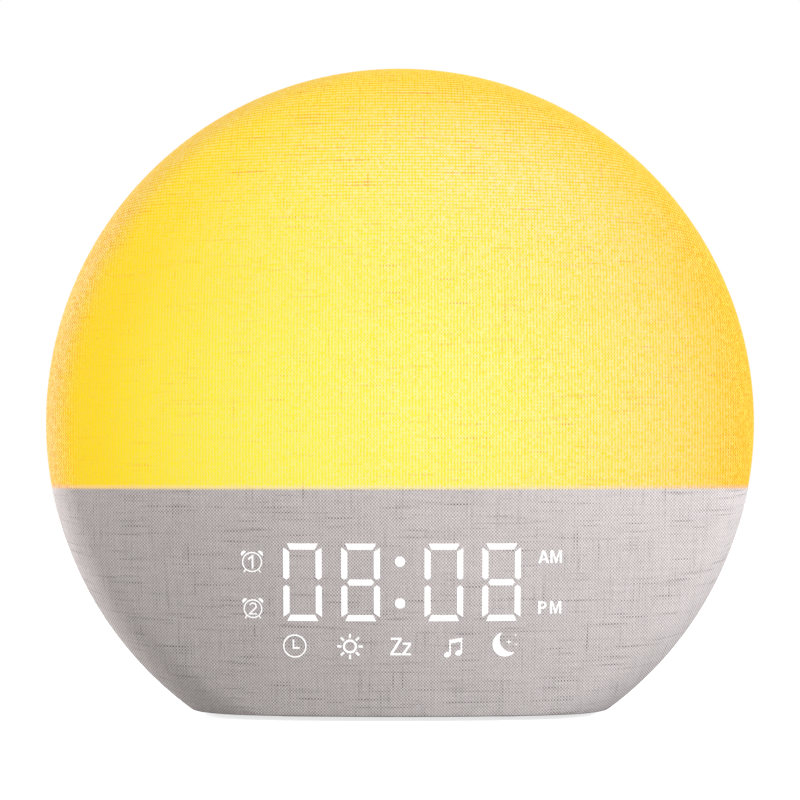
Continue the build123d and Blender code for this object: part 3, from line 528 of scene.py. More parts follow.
@dataclass(frozen=True)
class Cloth:
    """Linen-look plain weave of pale warp over darker weft, lit from behind above the shelf.

    Threads run along the face's two main directions and follow it round the rim, because they read the
    cloth's own flat layout. The lamp behind it fades from the middle of the disc to its edge and stops
    at the shelf, above which it leaves a pale line.
    """

    name: str
    thread: Colour
    shelf: float
    glow: Sunrise
    layout: str = "cloth"
    flat_span: float = 0.27           # side of the square that the layout fills
    warp: float = 0.367 * MM          # from one thread to the next, across
    weft: float = 0.397 * MM          # and up
    wander: float = 0.25              # how far threads stray sideways, in threads
    wander_length: float = 5 * MM
    shelf_blur: float = 0.4 * MM      # the lamp's light stops within this of the shelf
    line_band: Span = (0.6 * MM, 1.1 * MM)       # above the shelf, where the pale line fades
    crest_band: Span = (40 * MM, 85 * MM)        # above the shelf, where the upper part begins
    lean: Span = (0.15, 0.87)         # how far the warp hides the weft, below and above the shelf
    crest_lean: float = 0.47          # how much less it does in the upper part
    rim_lean: float = 0.65            # the share by which it does less where the painted sheen at the rim shows
    relief: float = 0.9               # height of a crossing
    unlit: float = 0.3                # how uneven threads look below the shelf, next to above it
    uneven_warp: float = 1.3
    uneven_weft: float = 0.6
    uneven_length: float = 1.6 * MM
    crown_band: Span = (-0.6, 0.6)    # heights at which a gap ends and a crown is full
    row_length: float = 13 * MM       # how far a weft thread keeps its thickness
    row_slubs: Span = (0.57, 0.78)    # chance values at which it begins to thicken and is thickest
    column_length: float = 11 * MM
    column_slubs: Span = (0.62, 0.84)
    pale: float = 1.17                # brightness of a crown
    gap_depth: float = 0.42           # how much darker a gap is: the dark inside seen through it, with painted shade in the hollow
    chance_depth: float = 0.22        # what its chance value adds to that
    slub_depth: float = 0.36          # what a thick stretch adds
    tone_depth: float = 0.20          # how much darker a dark thread is
    clouds: float = 60.0              # patches of colour per metre
    darkest_cloud: float = 0.97
    slub_ember: float = 0.55          # how strongly a thick stretch glows
    room_ember: float = 0.8           # what the room's light adds to that
    rim_ember: float = 1.5            # how strongly gaps glow where the painted sheen at the rim shows
    bump_depth: float = 0.03 * MM
    bump_strength: float = 0.5

    def across_shelf(self, graph: Graph, level: Socket, below: float = 0.0, above: float = 1.0) -> Socket:
        """Return the socket of a value that changes at the shelf."""
        return graph.span(level, self.shelf - self.shelf_blur, self.shelf + self.shelf_blur, below, above)

    def above_shelf(self, graph: Graph, level: Socket, band: Span, to_low: float = 0.0,
                    to_high: float = 1.0) -> Socket:
        """Return the socket of a value that changes over a band above the shelf."""
        return graph.span(level, self.shelf + band[0], self.shelf + band[1], to_low, to_high)

    def counts(self, graph: Graph, flat: Socket, axes: bpy.types.bpy_prop_collection) -> list[Socket]:
        """Number the threads, with the number of each one passed at its edge.

        Args:
            graph: The material's graph.
            flat: The place on the flat cloth, in metres.
            axes: Its two parts.

        Returns:
            The warp's and the weft's counts, whose whole parts are the threads' numbers.
        """
        aside = graph.node("ShaderNodeMapping", {"Vector": flat, "Location": (0.31, 0.17, 0.0)}).outputs[0]
        found = []
        for axis, pitch, where in ((axes[0], self.warp, flat), (axes[1], self.weft, aside)):
            drift = graph.math("SUBTRACT", graph.noise(where, 1 / self.wander_length, detail=1.0), 0.5)
            drift = graph.math("MULTIPLY", drift, 2 * self.wander)
            found.append(graph.math("ADD", graph.math("DIVIDE", axis, pitch), drift))
        return found

    def threads(self, graph: Graph, level: Socket, upper: Socket, rim_sheen: Socket) -> Weave:
        """Draw the threads.

        Args:
            graph: The material's graph.
            level: The point's height above the table.
            upper: How far the point lies in the upper part of the disc, 0 to 1.
            rim_sheen: How strongly the painted sheen at the rim shows there, 0 to 1.

        Returns:
            The weave there.
        """
        flat = graph.scaled(graph.node("ShaderNodeUVMap", uv_map=self.layout).outputs[0], self.flat_span)
        axes = graph.node("ShaderNodeSeparateXYZ", {0: flat}).outputs
        counts = self.counts(graph, flat, axes)
        warp, weft = (graph.math("SINE", graph.math("MULTIPLY", count, math.pi)) for count in counts)
        column, row = (graph.math("FLOOR", count) for count in counts)
        spot = graph.node("ShaderNodeCombineXYZ", {0: column, 1: row}).outputs[0]
        white_noise = graph.node("ShaderNodeTexWhiteNoise", {"Vector": spot}, noise_dimensions="2D")
        chance = white_noise.outputs["Value"]
        lean = self.across_shelf(graph, level, *self.lean)
        lean = graph.math("SUBTRACT", lean, graph.math("MULTIPLY", upper, self.crest_lean))
        lean = graph.math("MULTIPLY", lean, graph.math("MULTIPLY_ADD", rim_sheen, -self.rim_lean, 1.0))
        rest = graph.math("MULTIPLY", weft, upper)
        height = graph.math("MULTIPLY_ADD", warp, graph.math("ADD", weft, lean), rest)
        height = graph.math("MULTIPLY", height, self.relief)
        lit = self.across_shelf(graph, level, self.unlit, 1.0)
        for along, thread, weight in ((axes[1], column, self.uneven_warp), (axes[0], row, self.uneven_weft)):
            uneven = graph.math("SUBTRACT", self.stretch(graph, along, thread, self.uneven_length), 0.5)
            height = graph.math("MULTIPLY_ADD", graph.math("MULTIPLY", uneven, weight), lit, height)
        height = graph.math("MULTIPLY_ADD", graph.math("SUBTRACT", chance, 0.5), lit, height)
        rows = self.stretch(graph, axes[0], row, self.row_length)
        columns = self.stretch(graph, axes[1], column, self.column_length)
        thick = (graph.span(rows, *self.row_slubs), graph.span(columns, *self.column_slubs))
        slub = graph.math("MAXIMUM", *thick)
        tone = graph.math("SUBTRACT", graph.math("ADD", rows, columns), 1.0)
        return Weave(height, graph.span(height, *self.crown_band), chance, slub, tone)

    @staticmethod
    def stretch(graph: Graph, along: Socket, thread: Socket, length: float) -> Socket:
        """Draw a chance value that changes slowly along a thread and at once from one to the next.

        Args:
            graph: The material's graph.
            along: The place along the thread, in metres.
            thread: The thread's number.
            length: How far it takes to change.

        Returns:
            The value's socket, mostly between 0.3 and 0.7.
        """
        lanes_apart = 7.37
        lane = graph.math("MULTIPLY", thread, lanes_apart)
        share = graph.math("DIVIDE", along, length)
        spot = graph.node("ShaderNodeCombineXYZ", {0: share, 1: lane}).outputs[0]
        return graph.noise(spot, 1.0, detail=1.0)

    def plain(self, graph: Graph, weave: Weave, gap: Socket) -> Socket:
        """Colour the threads as the room alone shows them.

        Args:
            graph: The material's graph.
            weave: The weave.
            gap: How far the point is a gap and not a crown, 0 to 1.

        Returns:
            The colour's socket.
        """
        deep = graph.math("MULTIPLY_ADD", weave.chance, self.chance_depth, self.gap_depth)
        deep = graph.math("MULTIPLY_ADD", weave.slub, self.slub_depth, deep)
        # Gaps darker: partly the dark inside seen through them, partly painted shade in the hollows between
        # threads.
        shade = graph.math("SUBTRACT", self.pale, graph.math("MULTIPLY", gap, deep))
        shade = graph.math("SUBTRACT", shade, graph.math("MULTIPLY", weave.tone, self.tone_depth))
        cloud = graph.noise(graph.place(), self.clouds, detail=3.0)
        colour = graph.clouded(cloud, tinted(self.thread, self.darkest_cloud), self.thread)
        return graph.scaled(colour, shade)

    def burnt(self, graph: Graph, weave: Weave, gap: Socket, rim_sheen: Socket, room: Socket) -> Socket:
        """Tell how far a gap glows like an ember.

        Args:
            graph: The material's graph.
            weave: The weave.
            gap: How far the point is a gap and not a crown, 0 to 1.
            rim_sheen: How strongly the painted sheen at the rim shows there, 0 to 1.
            room: How far the room's light shows there, 0 to 1.

        Returns:
            The share's socket, 0 to 1.
        """
        share = graph.math("MULTIPLY_ADD", room, self.room_ember, self.slub_ember)
        share = graph.math("MULTIPLY_ADD", rim_sheen, self.rim_ember, graph.math("MULTIPLY", weave.slub, share))
        share = graph.math("MULTIPLY", graph.math("MULTIPLY", share, weave.chance), gap)
        return graph.math("MINIMUM", share, 1.0)

    def material(self) -> bpy.types.Material:
        """Build the material.

        Returns:
            The finished material.
        """
        graph = Graph(bpy.data.materials.new(self.name))
        glow = self.glow
        level = graph.node("ShaderNodeSeparateXYZ", {0: graph.place()}).outputs[2]
        upper = self.above_shelf(graph, level, self.crest_band)
        light, rim_sheen, room = glow.spread(graph, upper)
        weave = self.threads(graph, level, upper, rim_sheen)
        gap = graph.math("SUBTRACT", 1.0, weave.crown)
        # Above the shelf the threads' colour and glow carry the painted room light of the spread.
        on, through = glow.through_threads(graph, weave.crown, light, rim_sheen, room)
        through = graph.blend(self.burnt(graph, weave, gap, rim_sheen, room), through, glow.ember)
        band = self.above_shelf(graph, level, self.line_band, 1.0, 0.0)
        lined = graph.blend(1.0, graph.blend(1.0, through, glow.line, "MULTIPLY"), glow.line_lift, "ADD")
        edge = self.across_shelf(graph, level)
        graph.surface({
            "Base Color": graph.blend(edge, self.plain(graph, weave, gap), on),
            "Roughness": 0.9,
            "Specular IOR Level": 0.15,
            "Emission Color": graph.blend(band, through, lined),
            "Emission Strength": edge,
        })
        graph.bump(weave.height, self.bump_depth, self.bump_strength)
        return graph.holder


# ---- Modelling -------------------------------------------------------------------------
class Shop:
    """Bench operations that the sub-assemblies share."""

    @staticmethod
    def clear() -> None:
        """Leave edit mode and deselect everything."""
        if bpy.context.object and bpy.context.object.mode == "EDIT":
            bpy.ops.object.mode_set(mode="OBJECT")
        bpy.ops.object.select_all(action="DESELECT")

    @staticmethod
    def take(*pieces: Piece) -> None:
        """Select these pieces alone, the first one active.

        Args:
            pieces: What to select.
        """
        Shop.clear()
        for piece in pieces:
            piece.select_set(True)
        bpy.context.view_layer.objects.active = pieces[0]

    @staticmethod
    @contextmanager
    def editing(piece: Piece, select: bool = True) -> Iterator[None]:
        """Shape a piece in edit mode.

        Args:
            piece: The piece.
            select: Whether to select all of it, and otherwise keep what is selected.

        Yields:
            Nothing, while edit mode lasts.
        """
        Shop.take(piece)
        bpy.ops.object.mode_set(mode="EDIT")
        if select:
            bpy.ops.mesh.select_all(action="SELECT")
        yield
        bpy.ops.object.mode_set(mode="OBJECT")

    @staticmethod
    @contextmanager
    def editing_where(piece: Piece, kind: str, test: Callable[[Vector], bool]) -> Iterator[None]:
        """Shape in edit mode the edges or faces whose every corner passes a test.

        Args:
            piece: The piece.
            kind: EDGE or FACE.
            test: Takes a corner's place.

        Yields:
            Nothing, while edit mode lasts.
        """
        with Shop.editing(piece):
            bpy.ops.mesh.select_mode(type=kind)
            bpy.ops.mesh.select_all(action="DESELECT")
        passed = {vertex.index for vertex in piece.data.vertices if test(vertex.co)}
        for part in piece.data.edges if kind == "EDGE" else piece.data.polygons:
            part.select = set(part.vertices) <= passed
        with Shop.editing(piece, select=False):
            yield

    @staticmethod
    def named(name: str) -> Piece:
        """Name the piece that was just added.

        Args:
            name: The piece's name.

        Returns:
            The piece.
        """
        piece = bpy.context.object
        piece.name = piece.data.name = name
        return piece

    @staticmethod
    def settle(piece: Piece) -> Piece:
        """Put a piece's place into its mesh, so that its object sits at the origin.

        Args:
            piece: The piece.

        Returns:
            The same piece.
        """
        Shop.take(piece)
        bpy.ops.object.transform_apply(location=True, rotation=True, scale=True)
        return piece

    @staticmethod
    def modify(piece: Piece, kind: str, **settings: object) -> None:
        """Add a modifier and apply it.

        Args:
            piece: The piece.
            kind: The modifier's type.
            settings: Its settings.
        """
        Shop.take(piece)
        modifier = piece.modifiers.new(kind.lower(), kind)
        for key, value in settings.items():
            setattr(modifier, key, value)
        bpy.ops.object.modifier_apply(modifier=modifier.name)

    @staticmethod
    def combine(piece: Piece, operation: str, other: Piece) -> None:
        """Add another piece to this one or cut it away, and remove the other.

        Args:
            piece: The piece that stays.
            operation: UNION or DIFFERENCE.
            other: The piece that is used up.
        """
        Shop.modify(piece, "BOOLEAN", operation=operation, object=other, solver="EXACT")
        bpy.data.objects.remove(other)

    @staticmethod
    def outline(name: str, corners: list[Point]) -> Piece:
        """Make a flat face in X and Z from its corners.

        Args:
            name: The piece's name.
            corners: The outline's corners, in metres, in order.

        Returns:
            The flat piece.
        """
        Shop.clear()
        sides = len(corners)
        bpy.ops.mesh.primitive_circle_add(vertices=sides, radius=MM, fill_type="NGON", rotation=UPRIGHT)
        piece = Shop.settle(Shop.named(name))
        for vertex, (x, z) in zip(piece.data.vertices, corners):
            vertex.co = (x, 0.0, z)
        return piece

    @staticmethod
    def strand(name: str, points: list[Point], height: float) -> Piece:
        """Draw a line of edges at one height.

        Args:
            name: The piece's name.
            points: The line's points, as X and Y.
            height: Their Z.

        Returns:
            The line.
        """
        Shop.clear()
        bpy.ops.mesh.primitive_plane_add(size=MM)
        piece = Shop.named(name)
        with Shop.editing(piece):
            bpy.ops.mesh.select_mode(type="VERT")
            bpy.ops.mesh.merge(type="CENTER")
            here = Vector((*points[0], height))
            bpy.ops.transform.translate(value=here)
            for point in points[1:]:
                there = Vector((*point, height))
                bpy.ops.mesh.extrude_region_move(TRANSFORM_OT_translate={"value": there - here})
                here = there
        return piece

    @staticmethod
    def cut_level(height: float, keep_above: bool = False) -> None:
        """Cut all of the piece in edit mode at a height, so that it gets edges there.

        Args:
            height: The cut's Z.
            keep_above: Whether what is below goes, and the cut is closed.
        """
        bpy.ops.mesh.select_all(action="SELECT")
        bpy.ops.mesh.bisect(plane_co=(0, 0, height), plane_no=(0, 0, 1), use_fill=keep_above,
                            clear_inner=keep_above)

    @staticmethod
    def outward(piece: Piece) -> None:
        """Turn every normal of a closed piece outward.

        Args:
            piece: The piece.
        """
        with Shop.editing(piece):
            bpy.ops.mesh.normals_make_consistent(inside=False)

    @staticmethod
    def smooth(piece: Piece, degrees: float) -> None:
        """Shade a piece smooth, with edges sharper than an angle kept.

        Args:
            piece: The piece.
            degrees: The angle.
        """
        Shop.take(piece)
        bpy.ops.object.shade_smooth_by_angle(angle=math.radians(degrees))

    @staticmethod
    def join(name: str, pieces: list[Piece]) -> Piece:
        """Join pieces into one.

        Args:
            name: The joined piece's name.
            pieces: What to join.

        Returns:
            The joined piece.
        """
        Shop.take(*pieces)
        if len(pieces) > 1:
            bpy.ops.object.join()
        return Shop.named(name)

    @staticmethod
    def dress(piece: Piece, material: bpy.types.Material) -> None:
        """Give a piece one material all over.

        Args:
            piece: The piece.
            material: The material.
        """
        piece.data.materials.clear()
        piece.data.materials.append(material)

    @staticmethod
    def deliver(piece: Piece, material: bpy.types.Material, body: str, slot: str) -> None:
        """Dress a finished piece and say what it belongs to.

        Args:
            piece: The piece.
            material: Its material.
            body: The body that it rides on.
            slot: Its material slot; not used.
        """
        Shop.dress(piece, material)
        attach(piece, body)


@dataclass
class Face:
    """The domed front as a form: a shallow ball, a rolled edge and a short side."""

    low: Vector
    high: Vector
    roll: float = 14 * MM             # radius of the rolled edge
    rim_depth: float = 26 * MM        # from the front to the plane of the rim
    seam: float = 8 * MM              # from there to the end of the side
    draw: float = 0.8 * MM            # how far the side pulls in by then

    @property
    def radius(self) -> float:
        """Radius of the rim."""
        return (self.high.x - self.low.x) / 2

    @property
    def centre(self) -> Vector:
        """Centre of the disc, at the front's own depth."""
        return Vector((0.0, self.low.y, self.high.z - self.radius))

    @property
    def rim(self) -> float:
        """Depth of the rim's plane."""
        return self.low.y + self.rim_depth

    @property
    def inner(self) -> float:
        """Distance from the axis to the middle of the roll."""
        return self.radius - self.roll

    @property
    def ball(self) -> float:
        """Radius of the shallow ball."""
        return (self.inner ** 2 + self.rim_depth ** 2 - self.roll ** 2) / (2 * (self.rim_depth - self.roll))

    @property
    def meet(self) -> float:
        """Angle from the axis at which the ball meets the roll."""
        return math.asin(self.inner / (self.ball - self.roll))

    def profile(self, face_steps: int, roll_steps: int, side_steps: int) -> list[Point]:
        """Walk the form from its middle to its seam.

        Args:
            face_steps: Steps across the ball.
            roll_steps: Steps round the roll.
            side_steps: Steps along the side.

        Returns:
            (distance from the axis, depth) of each point.
        """
        deep = self.low.y + self.ball
        points = []
        for step in range(face_steps + 1):
            angle = self.meet * step / face_steps
            points.append((self.ball * math.sin(angle), deep - self.ball * math.cos(angle)))
        for step in range(1, roll_steps + 1):
            angle = self.meet + (math.pi / 2 - self.meet) * step / roll_steps
            points.append((self.inner + self.roll * math.sin(angle), self.rim - self.roll * math.cos(angle)))
        bend = (self.seam ** 2 + self.draw ** 2) / (2 * self.draw)
        for step in range(1, side_steps + 1):
            back = self.seam * step / side_steps
            points.append((self.radius - bend + math.sqrt(bend ** 2 - back ** 2), self.rim + back))
        return points

    def reach(self, place: Vector) -> float:
        """Return the distance from the disc's axis to a place."""
        return math.hypot(place.x, place.z - self.centre.z)

    def run(self, reach: float, depth: float) -> float:
        """Length along the form from its middle to a point on it.

        Args:
            reach: The point's distance from the axis.
            depth: Its Y.

        Returns:
            The length.
        """
        if reach <= self.ball * math.sin(self.meet):
            return self.ball * math.asin(reach / self.ball)
        turn = min(math.pi / 2, math.atan2(reach - self.inner, self.rim - depth))
        return self.ball * self.meet + self.roll * (turn - self.meet) + max(0.0, depth - self.rim)

    def depth_at(self, x: float, z: float) -> float:
        """Depth of the cloth's outer face on the ball.

        Args:
            x: Place across.
            z: Height.

        Returns:
            The depth there.
        """
        reach = math.hypot(x, z - self.centre.z)
        return self.low.y + self.ball - math.sqrt(self.ball ** 2 - reach ** 2)


# ---- Flat signs ------------------------------------------------------------------------
def arc(x: float, z: float, radius: float, start: float, step: float, count: int) -> list[Point]:
    """Place points along an arc.

    Args:
        x: Its centre, across.
        z: Its centre, up.
        radius: Its radius.
        start: The first point's angle, in degrees.
        step: From one point to the next, in degrees.
        count: How many points.

    Returns:
        The points.
    """
    turns = [math.radians(start + step * place) for place in range(count)]
    return [(x + radius * math.cos(turn), z + radius * math.sin(turn)) for turn in turns]


def moved(points: list[Point], x: float) -> list[Point]:
    """Return points moved across."""
    return [(across + x, up) for across, up in points]


def mirrored(points: list[Point], x: float = -1, z: float = 1) -> list[Point]:
    """Return points mirrored across or up, where its factor is -1."""
    return [(across * x, up * z) for across, up in points]


@dataclass
class Stamp:
    """A sign made of flat shapes in X and Z about its own middle, thickened into one solid.

    Its thickness and what its methods take are millimetres.
    """

    name: str
    thickness: float
    scale: float = 1.0
    shapes: list[Piece] = field(default_factory=list)

    ROUND = 28                        # corners of a disc
    RING = 48                         # and of a ring
    SHARPEST = 0.3                    # least cosine that a mitre follows

    def keep(self, piece: Piece) -> None:
        """Size a flat shape and keep it for the sign."""
        piece.data.transform(Matrix.Scale(self.scale, 4))
        self.shapes.append(piece)

    def polygon(self, corners: list[Point]) -> None:
        """Add a filled outline.

        Args:
            corners: Its corners in order.
        """
        self.fill([(x * MM, z * MM) for x, z in corners])

    def fill(self, corners: list[Point]) -> None:
        """Add a filled outline, given in metres."""
        self.keep(Shop.outline(self.name, corners))

    def disc(self, x: float, z: float, radius: float, squash: float = 1.0, tilt: float = 0.0) -> None:
        """Add a filled circle or ellipse.

        Args:
            x: Its middle, across.
            z: Its middle, up.
            radius: Its radius.
            squash: Height over width.
            tilt: How far it leans, in radians.
        """
        corners = []
        for step in range(self.ROUND):
            turn = math.tau * step / self.ROUND
            across = radius * math.cos(turn)
            up = radius * squash * math.sin(turn)
            corners.append((x + across * math.cos(tilt) - up * math.sin(tilt),
                            z + across * math.sin(tilt) + up * math.cos(tilt)))
        self.polygon(corners)

    def ring(self, outer: float, width: float) -> None:
        """Add a flat ring about the middle.

        Args:
            outer: Its outer radius.
            width: How wide its band is.
        """
        Shop.clear()
        bpy.ops.mesh.primitive_circle_add(vertices=self.RING, radius=outer * MM, fill_type="NGON",
                                          rotation=UPRIGHT)
        piece = Shop.named(self.name)
        with Shop.editing(piece):
            bpy.ops.mesh.inset(thickness=width * MM)
            bpy.ops.mesh.delete(type="FACE")
        self.keep(Shop.settle(piece))

    def stroke(self, route: list[Point], width: float) -> None:
        """Add a line of even width with mitred corners and square ends.

        Args:
            route: The line's points.
            width: Its width.
        """
        points = [Vector((x * MM, z * MM)) for x, z in route]
        ways = [(after - before).normalized() for before, after in zip(points, points[1:])]
        sides: list[list[Point]] = [[], []]
        for place, point in enumerate(points):
            meeting = ways[max(0, place - 1):place + 1]
            way = sum(meeting, Vector((0, 0))).normalized()
            reach = width * MM / 2 / max(self.SHARPEST, way.dot(meeting[0]))
            for side, sign in zip(sides, (1, -1)):
                side.append((point.x - sign * way.y * reach, point.y + sign * way.x * reach))
        self.fill(sides[0] + sides[1][::-1])

    def solid(self) -> Piece:
        """Join the shapes and thicken them evenly about their plane.

        Returns:
            The sign's piece.
        """
        for shape in self.shapes:
            Shop.modify(shape, "SOLIDIFY", thickness=self.thickness * MM, offset=0.0)
            Shop.outward(shape)
        piece, *others = self.shapes
        for other in others:
            Shop.combine(piece, "UNION", other)
        piece.name = piece.data.name = self.name
        return piece


class Sign(Enum):
    """The signs that the display and the keys carry."""

    CLOCK = "clock"
    ALARM_ONE = "alarm_one"
    ALARM_TWO = "alarm_two"
    SUN = "sun"
    SLEEP = "sleep"
    MUSIC = "music"
    MOON = "moon"
    MORNING = "am"
    AFTERNOON = "pm"
    MINUS = "minus"
    PLUS = "plus"
    SNOOZE = "snooze"


class SignWriter:
    """Draws each sign's shapes at the display's size, in millimetres."""

    LETTER_TOP = 1.45                 # half the height of AM and PM

    def __init__(self, stamp: Stamp) -> None:
        """Take what the signs are drawn on."""
        self.stamp = stamp

    def draw(self, sign: Sign) -> None:
        """Draw a sign.

        Args:
            sign: Which sign.
        """
        getattr(self, sign.value)()

    def clock(self) -> None:
        """Draw a dial with two hands."""
        self.stamp.ring(2.72, 0.31)
        self.stamp.stroke([(-0.32, 1.55), (-0.32, -0.42), (1.1, -0.42)], 0.38)

    def bells(self, size: float) -> None:
        """Draw an alarm clock's dial, bells and legs.

        Args:
            size: Its size, where 1 is the first alarm's.
        """
        self.stamp.ring(2.32 * size, 0.27)
        for side in (-1, 1):
            out = Vector((side * math.sin(math.radians(45)), math.cos(math.radians(45))))
            along = Vector((out.y, -out.x))
            bell = [out * 2.66 * size + (along * math.cos(turn) + out * math.sin(turn) * 0.9) * 0.74 * size
                    for turn in (math.pi * step / 12 for step in range(13))]
            self.stamp.polygon([tuple(point) for point in bell])
            self.stamp.stroke([(side * 1.52 * size, -1.8 * size), (side * 1.95 * size, -2.36 * size)], 0.26)

    def alarm_one(self) -> None:
        """Draw an alarm clock that holds a one."""
        self.bells(1.0)
        self.stamp.stroke([(-0.9, 0.62), (0.12, 1.36), (0.12, -1.5)], 0.4)

    def alarm_two(self) -> None:
        """Draw an alarm clock that holds a two."""
        self.bells(0.94)
        self.stamp.stroke(arc(0, 0.56, 0.76, 160, -20, 10) + [(-0.8, -1.2), (0.95, -1.2)], 0.28)

    def sun(self) -> None:
        """Draw a sun with eight rays."""
        self.stamp.ring(1.62, 0.5)
        for inside, outside in zip(arc(0, 0, 1.95, 0, 45, 8), arc(0, 0, 2.95, 0, 45, 8)):
            self.stamp.stroke([inside, outside], 0.5)

    def zed(self, x: float, z: float, width: float, height: float, line: float) -> None:
        """Draw a letter Z from its lower left corner.

        Args:
            x: Left edge.
            z: Foot.
            width: Its width.
            height: Its height.
            line: Width of its strokes.
        """
        slant = line * 1.35           # width of the slanting stroke, level across it
        nib = 0.1                     # how far the upper stroke starts inside the lower one
        right, top = x + width, z + height
        self.stamp.polygon([
            (x, z), (right, z), (right, z + line), (x + slant, z + line), (right, top - line), (right, top),
            (x + nib, top), (x + nib, top - line), (right - slant, top - line), (x, z + line)])

    def sleep(self) -> None:
        """Draw a large Z and a small one."""
        self.zed(-2.33, -2.05, 2.6, 4.1, 0.48)
        self.zed(0.4, -2.05, 2.05, 2.95, 0.45)

    def snooze(self) -> None:
        """Draw three letters Z that grow to the right."""
        for x, size in ((-3.2, 2.6), (0.0, 3.4), (3.6, 4.2)):
            self.zed(x - size * 0.4, -size / 2, size * 0.8, size, 0.5)

    def music(self) -> None:
        """Draw two joined notes."""
        for x, z in ((-1.35, -1.62), (1.25, -1.22)):
            self.stamp.disc(x, z, 0.82, 0.74, 0.35)
            self.stamp.stroke([(x + 0.62, z + 0.12), (x + 0.62, z + 3.5)], 0.36)
        self.stamp.polygon([(-0.91, 1.82), (2.05, 2.3), (2.05, 1.45), (-0.91, 0.97)])

    def minus(self) -> None:
        """Draw a bar."""
        self.stamp.stroke([(-1.6, 0), (1.6, 0)], 0.6)

    def plus(self) -> None:
        """Draw a cross with four arms."""
        arm, half = 1.6, 0.3
        upper = [(arm, half), (half, half), (half, arm), (-half, arm), (-half, half)]
        lower = [(-arm, half), (-arm, -half), (-half, -half), (-half, -arm), (half, -arm), (half, -half),
                 (arm, -half)]
        self.stamp.polygon(lower + upper)

    def em(self) -> None:
        """Draw the M of AM and PM."""
        top = self.LETTER_TOP
        right = [(0, -0.42), (0.68, top), (1.34, top), (1.34, -top), (0.8, -top), (0.8, 0.72), (0.22, -top)]
        self.stamp.polygon(moved(right + mirrored(right[:0:-1]), 1.35))

    def am(self) -> None:
        """Draw the letters AM."""
        top, place = self.LETTER_TOP, -1.52
        legs = [(-1.27, -top), (-0.34, top), (0.34, top), (1.27, -top), (0.68, -top), (0, 0.6),
                (-0.68, -top)]
        bar = [(-0.66, -0.82), (0.66, -0.82), (0.54, -0.38), (-0.54, -0.38)]
        for corners in (legs, bar):
            self.stamp.polygon(moved(corners, place))
        self.em()

    def pm(self) -> None:
        """Draw the letters PM."""
        top, place = self.LETTER_TOP, -1.7
        bowl = [(-0.6, 1.18), *arc(0.08, 0.56, 0.62, 90, -20, 10), (-0.6, -0.06)]
        self.stamp.stroke(moved(bowl, place), 0.5)
        self.stamp.polygon(moved([(-0.98, -top), (-0.98, top), (-0.4, top), (-0.4, -top)], place))
        self.em()

    def moon(self) -> None:
        """Draw a crescent open to the upper right, with three sparkles."""
        outer, inner, shift = 2.88, 3.02, 2.12
        open_way = math.radians(32)
        chord = (outer ** 2 - inner ** 2 + shift ** 2) / (2 * shift)
        half_out = math.acos(chord / outer)
        half_in = math.pi - math.acos((shift - chord) / inner)
        centre = Vector((math.cos(open_way), math.sin(open_way))) * shift
        steps = 24
        corners = []
        for step in range(steps + 1):
            turn = open_way + half_out + (math.tau - 2 * half_out) * step / steps
            corners.append((outer * math.cos(turn), outer * math.sin(turn)))
        for step in range(1, steps):
            turn = open_way - half_in - (math.tau - 2 * half_in) * step / steps
            corners.append((centre.x + inner * math.cos(turn), centre.y + inner * math.sin(turn)))
        self.stamp.polygon(corners)
        for x, z, size in ((0.9, 0.55, 0.75), (2.4, 2.15, 0.36), (2.6, -0.05, 0.42)):
            self.sparkle(x, z, size)

    def sparkle(self, x: float, z: float, size: float) -> None:
        """Draw a star with four points.

        Args:
            x: Its middle, across.
            z: Its middle, up.
            size: From there to a point.
        """
        waist = 0.24                  # from its middle to a notch, over its size
        corners = []
        for step in range(8):
            turn = step * math.pi / 4
            reach = size if step % 2 == 0 else size * waist
            corners.append((x + reach * math.sin(turn), z + reach * math.cos(turn)))
        self.stamp.polygon(corners)


